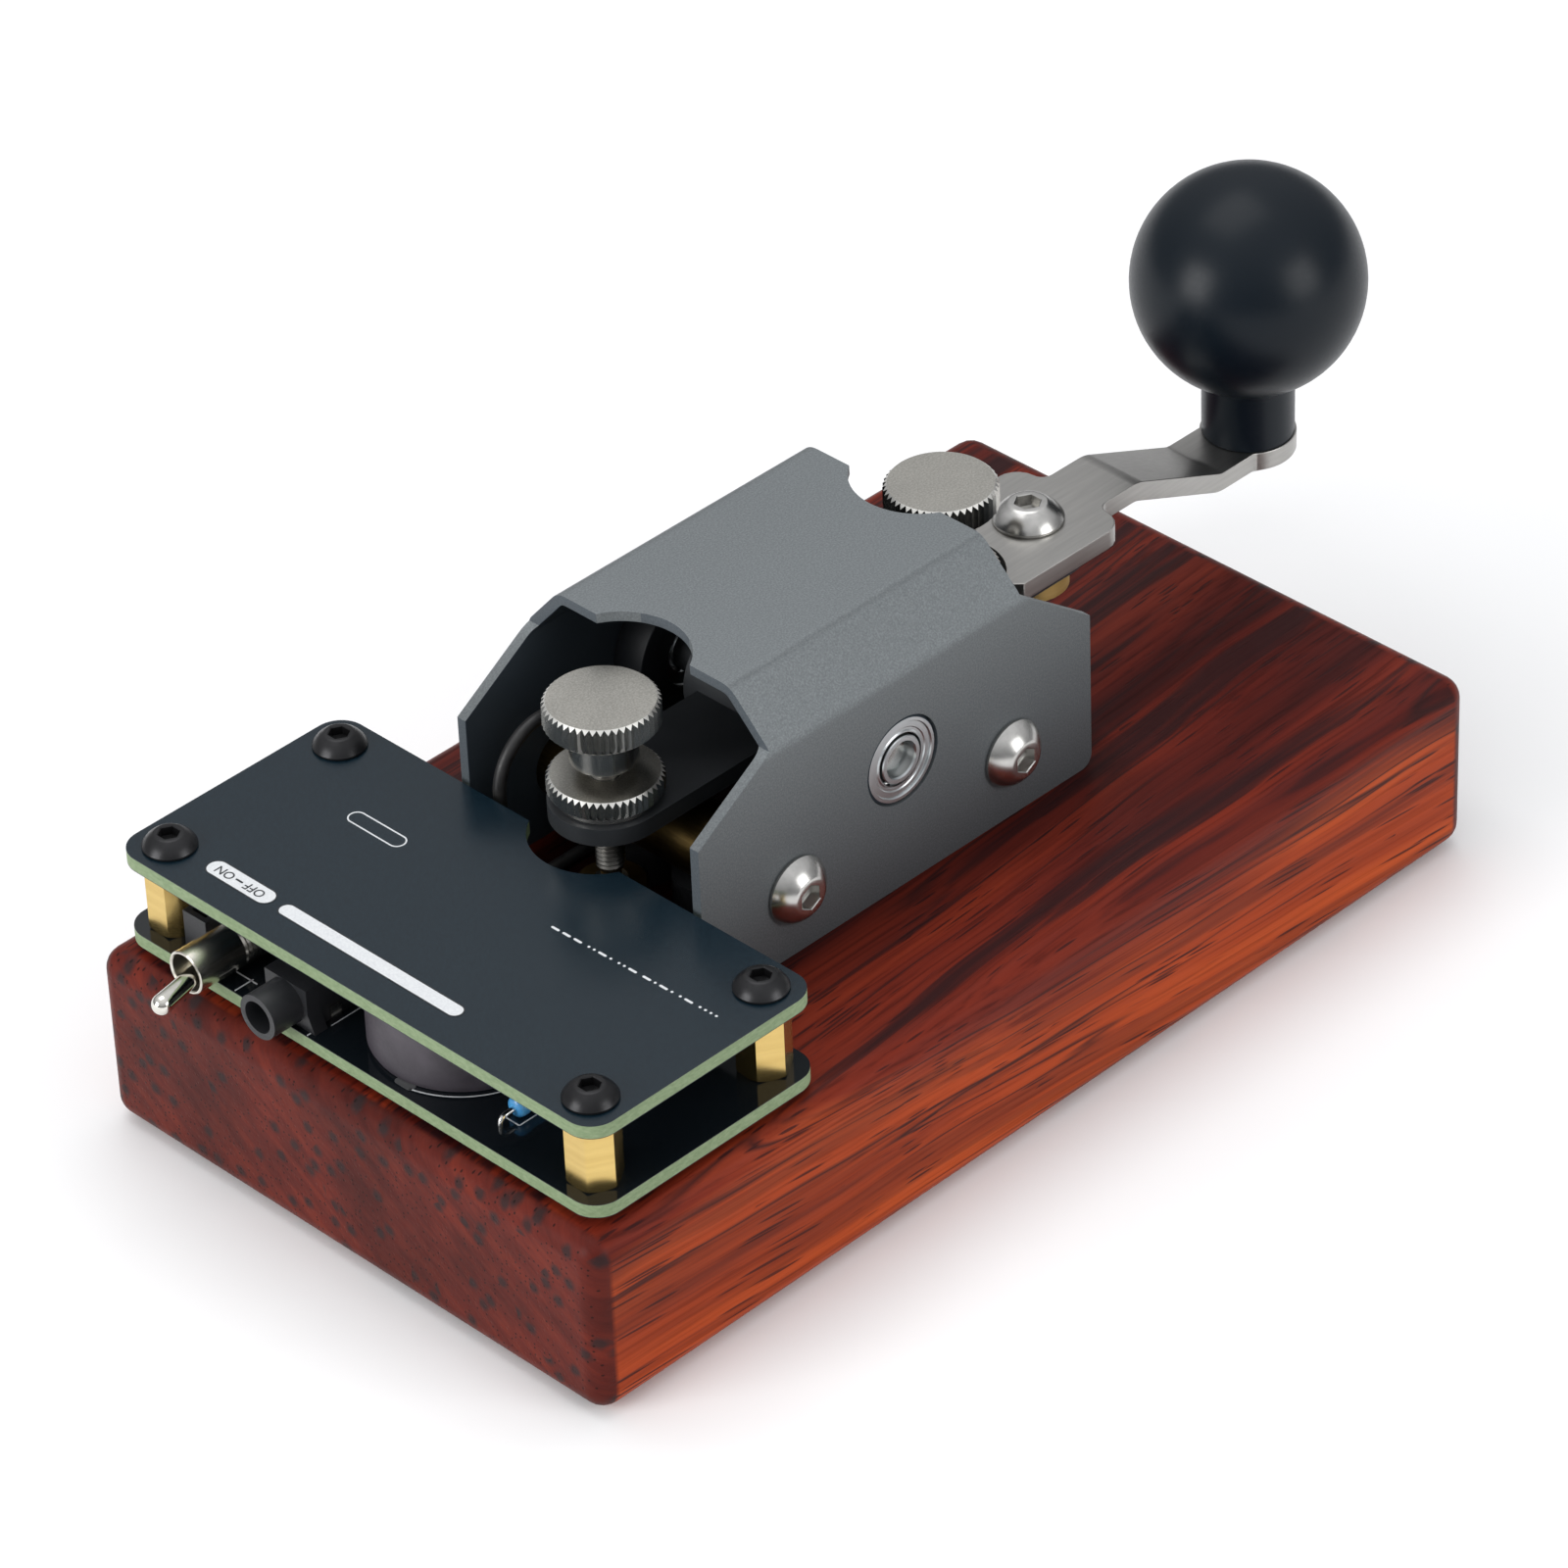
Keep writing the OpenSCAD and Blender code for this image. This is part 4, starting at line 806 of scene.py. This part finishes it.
core_r, screw_r, thread_depth, pitch, tip_r, tip_l = 1.26, 1.5, 0.24, 0.5, 1.1, 1.3
nut_bore, nut_low, nut_grip, nut_high = 1.56, 37.2, 38.0, 40.2
for name, x, tip_z, head_z in (("rear", rear_x, 28.42, 41.7), ("front", front_x, 28.82, 43.1)):
    bm = bmesh.new()
    thread(bm, screw_r, thread_depth, pitch, tip_z, head_z, x)
    turned([(0, tip_z), (core_r, tip_z), (core_r, head_z + 0.3)], 32, at(x, 0, 0), bm)
    grip_z, crown_z = head_z + 4.3, head_z + 7.3
    collar = [(core_r, head_z), (3.25, head_z), (3.5, head_z + 0.25), (3.5, grip_z), (5.3, grip_z)]
    knurled(collar, grip_z, crown_z, [(0, crown_z)], at(x, 0, 0), bm)
    # The thread below the head takes the painted shade copy of the nickel.
    for face in bm.faces:
        if face.calc_center_median().z < head_z * mm:
            face.material_index = 3
    add_piece(name + "_thumbscrew", bm, [nickel, cut_nickel, highlight_nickel, shaded_thread_nickel], name + "_screw",
              "nickel", name + "_adjust_screw")
    collar = [(nut_bore, nut_low), (5.0, nut_low), (5.2, nut_low + 0.2), (5.2, nut_grip), (5.3, nut_grip)]
    inside = [(1.9, nut_high), (nut_bore, nut_high - 0.3), (nut_bore, nut_low)]
    bm = knurled(collar, nut_grip, nut_high, inside, at(x, 0, 0), None)
    add_piece(name + "_thumbnut", bm, [nickel, cut_nickel, highlight_nickel], name + "_nut", "nickel",
              name + "_lock_nut")
    tip_low = tip_z - tip_l
    bm = turned([(0, tip_low), (tip_r - 0.15, tip_low), (tip_r, tip_low + 0.15), (tip_r, tip_z), (0, tip_z)],
                32, at(x, 0, 0))
    add_piece(name + "_tip_rivet", bm, contact_metal, name + "_tip", "contact", name + "_contact_tip")


# Return spring: steel wire wound into a compression spring with closed ends, on a
# brass seat, under the lever ahead of the front screw.
spring_x, spring_low, spring_high, wire_r, coil_r = 28.7, 22.2, 35.2, 0.22, 1.7
bm = bmesh.new()
wire_start = Matrix.Translation(Vector((spring_x + coil_r, 0, spring_low + wire_r)) * mm)
loop = bmesh.ops.create_circle(bm, cap_ends=True, segments=10, radius=wire_r * mm,
                               matrix=wire_start @ Matrix.Rotation(pi / 2, 4, "X"))["verts"]
edges = bm.edges[:]
closed_rise, open_turns, turn_steps = 0.86, 6, 28
open_rise = (spring_high - spring_low - 2 * wire_r - 2 * closed_rise) / open_turns
for turns, climb in ((1, closed_rise), (open_turns, open_rise), (1, closed_rise)):
    grown = bmesh.ops.spin(bm, geom=loop + edges, cent=(spring_x * mm, 0, 0), axis=(0, 0, 1),
                           angle=2 * pi * turns, dvec=(0, 0, climb / turn_steps * mm),
                           steps=turns * turn_steps, use_merge=False, use_duplicate=False)["geom_last"]
    loop = [g for g in grown if isinstance(g, bmesh.types.BMVert)]
    edges = [g for g in grown if isinstance(g, bmesh.types.BMEdge)]
bmesh.ops.holes_fill(bm, edges=edges, sides=0)
bmesh.ops.recalc_face_normals(bm, faces=bm.faces)
shade(bm, 60)
spring = add_piece("spring_coil", bm, bare_steel, None, "steel", "return_spring")
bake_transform(spring)
turned_brass = metal("turned_brass", (0.66, 0.46, 0.16), (0.74, 0.54, 0.20), 0.24, (60, 60, 1500), 0.01)
seat_r, seat_top, pin_r, pin_top = 2.1, 22.2, 1.1, 25.2
bm = turned([(0, base_top), (seat_r, base_top), (seat_r, seat_top - 0.1), (seat_r - 0.1, seat_top),
             (pin_r, seat_top), (pin_r, pin_top - 0.3), (pin_r - 0.3, pin_top), (0, pin_top)], 32,
            at(spring_x, 0, 0))
add_piece("spring_foot", bm, turned_brass, "base", "brass", "spring_seat")


# Circuit boards: glass-fibre sheet, its pale green core bare at the edges, under a
# glossy black solder mask, held apart and down by brass studs and black screws.
mask_film = speckled("solder_mask", 3800, 0.10, 45, ((0.0025, 0.0100, 0.0170), (0.0060, 0.0170, 0.0260)),
                     (0.22, 0.28), tone_from="Mask", rough_from="Cloud", specular_ior_level=0.42)
gloss_film = speckled("solder_mask_gloss", 3800, 0.03, 45,
                      ((0.0050, 0.0075, 0.0100), (0.0080, 0.0110, 0.0140)), (0.07, 0.11),
                      tone_from="Mask", rough_from="Cloud", specular_ior_level=0.5)
core, nodes, links, shader = material("glass_fibre_core", roughness=0.6)
weave = noise(stretched(coordinates(nodes), (1600, 1600, 3600)), 1.0, 3.0, 0.6)
greens = ramp(weave, (0.3, (0.195, 0.275, 0.140)), (0.5, (0.240, 0.325, 0.175)), (0.7, (0.29, 0.375, 0.215)))
links.new(greens, shader.inputs["Base Color"])
film, board_t, low_board, high_board = 0.07, 1.6, 22.3, 31.9
low_top, high_top = low_board + board_t, high_board + board_t
for name, low_z, board_film in (("lower", low_board, gloss_film), ("upper", high_board, mask_film)):
    bm = node_copy(name + "_board")
    core_low, core_high = low_z + film, low_z + board_t - film
    for z in (core_low, core_high):
        bmesh.ops.bisect_plane(bm, geom=bm.verts[:] + bm.edges[:] + bm.faces[:], dist=1e-7,
                               plane_co=(0, 0, z * mm), plane_no=(0, 0, 1))
    for face in bm.faces:
        in_core = core_low < face.calc_center_median().z / mm < core_high
        face.material_index = 1 if in_core and abs(face.normal.z) < 0.5 else 0
    shade(bm)
    add_piece(name + "_board_sheet", bm, [board_film, core], "base", "board", name + "_board")

black_oxide = speckled("black_oxide", 3000, 0.2, 200, ((0.012, 0.012, 0.013), (0.028, 0.028, 0.030)),
                       (0.28, 0.38), metallic=0.6, specular_ior_level=0.5)
stud_r, stud_bore, chamfer = 2.5, 1.53, 0.6
small_head, board_shank = (1.5, 2.85, 1.65, 2), 5
stud = hexagon(2 * stud_r)
studs, screws = bmesh.new(), bmesh.new()
for x in stud_xs:
    for y in stud_ys:
        turned([(stud_bore, low_top), (stud_r, low_top),
                (stud, lambda turn: low_top + chamfer * (stud(turn) - stud_r)),
                (stud, lambda turn: high_board - chamfer * (stud(turn) - stud_r)),
                (stud_r, high_board), (stud_bore, high_board), (stud_bore, low_top)],
               48, at(x, y, 0), studs, angle=20)
        button_head(*small_head, board_shank, at(x, y, high_top), screws)
add_piece("board_studs", studs, turned_brass, "base", "brass", "board_standoffs")
add_piece("board_screw_set", screws, black_oxide, "base", "black_screw", "board_screws")


# Board printing: white ink with dark words on it, a few hundredths of a millimetre
# thick. Only plain marks: the switch's label with its two words, a bare label, a bare
# box, a row of dots and dashes, and the outlines round the parts.
ink = speckled("white_ink", 5000, 0, 300, ((0.66, 0.68, 0.70), (0.78, 0.80, 0.81)), tone_from="Mask",
               roughness=0.55)
dark_ink = speckled("dark_ink", 3000, 0, 300, ((0.012, 0.015, 0.018), (0.02, 0.024, 0.028)),
                    tone_from="Mask", roughness=0.5)
print_t = 0.03


def pill(bm, x0, x1, y0, y1, z, hollow=0.0):
    """A label with round ends, between four sides given in mm; a hollow one is only its outline."""
    middle, half = (x0 + x1) / 2, (x1 - x0) / 2

    def outline(inset):
        reach, ring = half - inset, []
        for turn in (*range(0, 181, 12), *range(180, 361, 12)):
            end_y = y1 - half if turn < 180 else y0 + half
            corner = (middle + reach * cos(radians(turn)), end_y + reach * sin(radians(turn)), z)
            ring.append(bm.verts.new(Vector(corner) * mm))
        return ring

    edge = outline(0)
    if hollow:
        inner = outline(hollow)
        flat = [bm.faces.new((edge[i - 1], edge[i], inner[i], inner[i - 1])) for i in range(len(edge))]
    else:
        flat = [bm.faces.new(edge)]
    raised = bmesh.ops.extrude_face_region(bm, geom=flat)["geom"]
    bmesh.ops.translate(bm, vec=(0, 0, print_t * mm),
                        verts=[g for g in raised if isinstance(g, bmesh.types.BMVert)])
    bmesh.ops.recalc_face_normals(bm, faces=bm.faces)


def dab(bm, x, y, z, long, wide, turn=0.0):
    """A stroke of ink in mm, long along Y unless it is turned."""
    place = Matrix.Translation(Vector((x, y, z + print_t / 2)) * mm) @ Matrix.Rotation(turn, 4, "Z")
    size = Matrix.Diagonal((wide * mm, long * mm, print_t * mm, 1))
    made = bmesh.ops.create_cube(bm, size=1, matrix=place @ size)
    edges = dict.fromkeys(e for v in made["verts"] for e in v.link_edges)
    sides = upright_edges(edges, 0.5 * print_t * mm)
    rounded(bm, sides, min(long, wide) * 0.45, 3)


def words(text, size, x, y, z, name):
    """Plain lettering laid flat, read from the knob's end."""
    curve = bpy.data.curves.new(name, "FONT")
    curve.body, curve.size, curve.align_x, curve.align_y = text, size * mm, "CENTER", "CENTER"
    curve.extrude = print_t / 2 * mm
    source = bpy.data.objects.new(name + "_outline", curve)
    scene.collection.objects.link(source)
    bpy.context.view_layer.update()
    mesh = bpy.data.meshes.new_from_object(source.evaluated_get(bpy.context.evaluated_depsgraph_get()))
    bpy.data.objects.remove(source)
    bm = bmesh.new()
    bm.from_mesh(mesh)
    place = Matrix.Translation(Vector((x, y, z + print_t / 2)) * mm) @ Matrix.Rotation(pi / 2, 4, "Z")
    bmesh.ops.transform(bm, verts=bm.verts, matrix=place)
    return bm


word_label, long_label = (-58.15, -55.95, 15.6, 24.8), (-57.95, -56.25, -11.5, 14.2)
empty_box, box_line, border = (-43.0, -41.0, 12.7, 20.6), 0.16, 0.15
label_z, word_x, word_size, off_y, on_y = high_top + print_t, -57.05, 1.55, 18.2, 22.5
marks, borders = bmesh.new(), bmesh.new()
between_words = 20.45
dab(borders, word_x, between_words, label_z, 1.0, 0.22)
for x0, x1, y0, y1 in (word_label, long_label):
    pill(marks, x0, x1, y0, y1, high_top)
    pill(borders, x0 - border, x1 + border, y0 - border, y1 + border, high_top, hollow=border)
pill(marks, *empty_box, high_top, hollow=box_line)
dash, dot, stroke, letter_gap, mark_gap = 1.1, 0.3, 0.28, 0.38, 0.42
row_x, row_y, row_slant = -41.5, -7.9, 0.6 / 19
y = row_y
for sign in "--- ..-. ..- -.-. .- ....":
    if sign == " ":
        y -= letter_gap
    else:
        length = dash if sign == "-" else dot
        dab(marks, row_x + (row_y - y) * row_slant, y - length / 2, high_top, length, stroke)
        y -= length + mark_gap
add_piece("printed_labels", marks, ink, "base", "board")
add_piece("off_word", words("OFF", word_size, word_x, off_y, label_z, "off"), dark_ink, "base", "board")
add_piece("on_word", words("ON", word_size, word_x, on_y, label_z, "on"), dark_ink, "base", "board")
add_piece("label_marks", borders, dark_ink, "base", "board")

can_x, can_y, ring_r, ring_from, ring_step, ring_dabs = -50.5, -4.6, 10.25, 196, 5.2, 16
outlines = bmesh.new()
for x, y, long, wide in ((-60.15, 17.4, 0.16, 2.5), (-59.2, 18.05, 3.1, 0.16), (-60.9, 6.7, 0.16, 1.2),
                         (-57.25, -17.8, 2.4, 0.14), (-56.05, -19.05, 0.14, 2.4), (-56.05, -16.6, 0.14, 2.4),
                         (-56.5, 6.1, 0.12, 4.6)):
    dab(outlines, x, y, low_top, long, wide)
for step in range(ring_dabs):
    turn = radians(ring_from + step * ring_step)
    dab(outlines, can_x + ring_r * cos(turn), can_y + ring_r * sin(turn), low_top, 0.96, 0.15, turn)
add_piece("board_outlines", outlines, ink, "base", "board")
test_pad = speckled("test_pad", 5000, 0, 900, ((0.085, 0.088, 0.090), (0.125, 0.128, 0.130)),
                    roughness=0.45)
pads = bmesh.new()
dab(pads, -60.2, -6.05, low_top, 2.5, 1.1)
add_piece("test_pads", pads, test_pad, "base", "board")


# Toggle switch: a plated bushing with a few turns of thread and a bat lever, in a
# folded steel frame over a black body.
plated = metal("bright_plate", (0.62, 0.59, 0.52), (0.74, 0.71, 0.64), 0.24, (900, 900, 900), 0.06)
plated_tip = metal("plated_tip", (0.70, 0.68, 0.62), (0.80, 0.78, 0.72), 0.12, (900, 900, 900), 0.04)
switch_y, switch_z, mouth_x, flip_x = 20.4, 26.6, -65.0, -61.2
mouth_r, bushing_r, groove_r, mouth_deep = 2.05, 2.4, 2.25, 7.5
grooves = [(r, 6.1 + 0.5 * i + step) for i in range(5) for r, step in ((groove_r, 0), (bushing_r, 0.25))]
mouth = at(mouth_x, switch_y, switch_z, (1, 0, 0))
bm = turned([(mouth_r, mouth_deep), (mouth_r, 0.15), (2.15, 0), (2.3, 0), (bushing_r, 0.1), (bushing_r, 6.0),
             *grooves, (bushing_r, 8.8), (2.65, 8.85), (2.65, 10.0), (0, 10.0)], 48, mouth)
turned([(mouth_r, mouth_deep), (0, mouth_deep)], 48, mouth, bm)
add_piece("bushing", bm, plated, "base", "steel", "switch_bushing")
lean, root_r, tip_r, bat_l, ball_r = radians(13.5), 0.75, 1.12, 8.9, 1.4
bat = at(flip_x, switch_y, switch_z, (-cos(lean), -sin(lean), 0))
root = [(root_r + (tip_r - root_r) * i / 10, bat_l * i / 10) for i in range(11)]
round_tip = [(tip_r * cos(radians(a)), bat_l + tip_r * sin(radians(a))) for a in range(9, 90, 9)]
bm = turned([(0, 0), *root, *round_tip, (0, bat_l + tip_r)], 32, bat)
turned([(ball_r * cos(radians(a)), ball_r * sin(radians(a))) for a in range(-90, 91, 12)], 32, bat, bm)
add_piece("bat", bm, plated_tip, "toggle", "steel", "switch_lever")
softened_piece("switch_frame", 0.06, "switch_saddle", plated, "base", "steel", flat_faces=True)
softened_piece("switch_body", 0.12, "switch_block", black_plastic, "base", "black_plastic", flat_faces=True)


# Parts on the lower board: a black moulded audio socket and battery socket, a round
# sounder in a dark shell and a blue resistor, all soldered down.
softened_piece("jack_body", 0.1, "jack", black_plastic, "base", "black_plastic", flat_faces=True)
paint_node("jack_pins", plated)
softened_piece("battery_socket", 0.08, "battery_plug", black_plastic, "base", "black_plastic",
               flat_faces=True)

sounder = speckled("sounder_shell", 2500, 0.4, 160, ((0.036, 0.031, 0.039), (0.082, 0.072, 0.086)),
                   (0.42, 0.55), specular_ior_level=0.4)
can_r, can_h, vent_r = 9.9, 7.2, 1.1
bm = turned([(0, 0), (9.5, 0), (9.6, 0.1), (9.6, 0.5), (can_r, 0.7), (can_r, can_h - 0.5),
             (9.75, can_h - 0.15), (9.4, can_h), (vent_r + 0.2, can_h), (vent_r, can_h - 0.2),
             (vent_r, can_h - 1.2), (0, can_h - 1.2)], 96, at(can_x, can_y, low_top))
add_piece("sounder_can", bm, sounder, "base", "buzzer", "buzzer")

blue_coat = speckled("blue_coat", 5000, 0, 900, ((0.05, 0.30, 0.66), (0.10, 0.42, 0.80)), coat_weight=0.4,
                     coat_roughness=0.1, roughness=0.3)
bead_x, bead_y, half_l, bead_r, waist_r = -53.7, -17.85, 3.1, 1.15, 1.03
end_rings = [(0.3, -half_l), (0.75, -half_l + 0.02), (1.05, -half_l + 0.25), (bead_r, -half_l + 0.6),
             (bead_r, -half_l + 1.25), (waist_r, -half_l + 1.6)]
bm = turned([*end_rings, *((r, -z) for r, z in reversed(end_rings))], 32,
            at(bead_x, bead_y, low_top + bead_r, (1, 0, 0)), angle=50)
add_piece("resistor_bead", bm, blue_coat, "base", "resistor", "resistor")
tinned = metal("tinned_lead", (0.60, 0.60, 0.59), (0.78, 0.78, 0.77), 0.2, (1500, 1500, 1500), 0.15)
for name in ("resistor_leads", "solder_joints"):
    paint_node(name, tinned)


# Signal wires: thin black leads, one up to the rear cross bar and one along the wood
# from the front post.
sleeve = speckled("wire_sleeve", 1500, 0, 700, ((0.014, 0.014, 0.015), (0.028, 0.027, 0.027)), (0.40, 0.50),
                  specular_ior_level=0.5)
paint_node("signal_wires", sleeve)
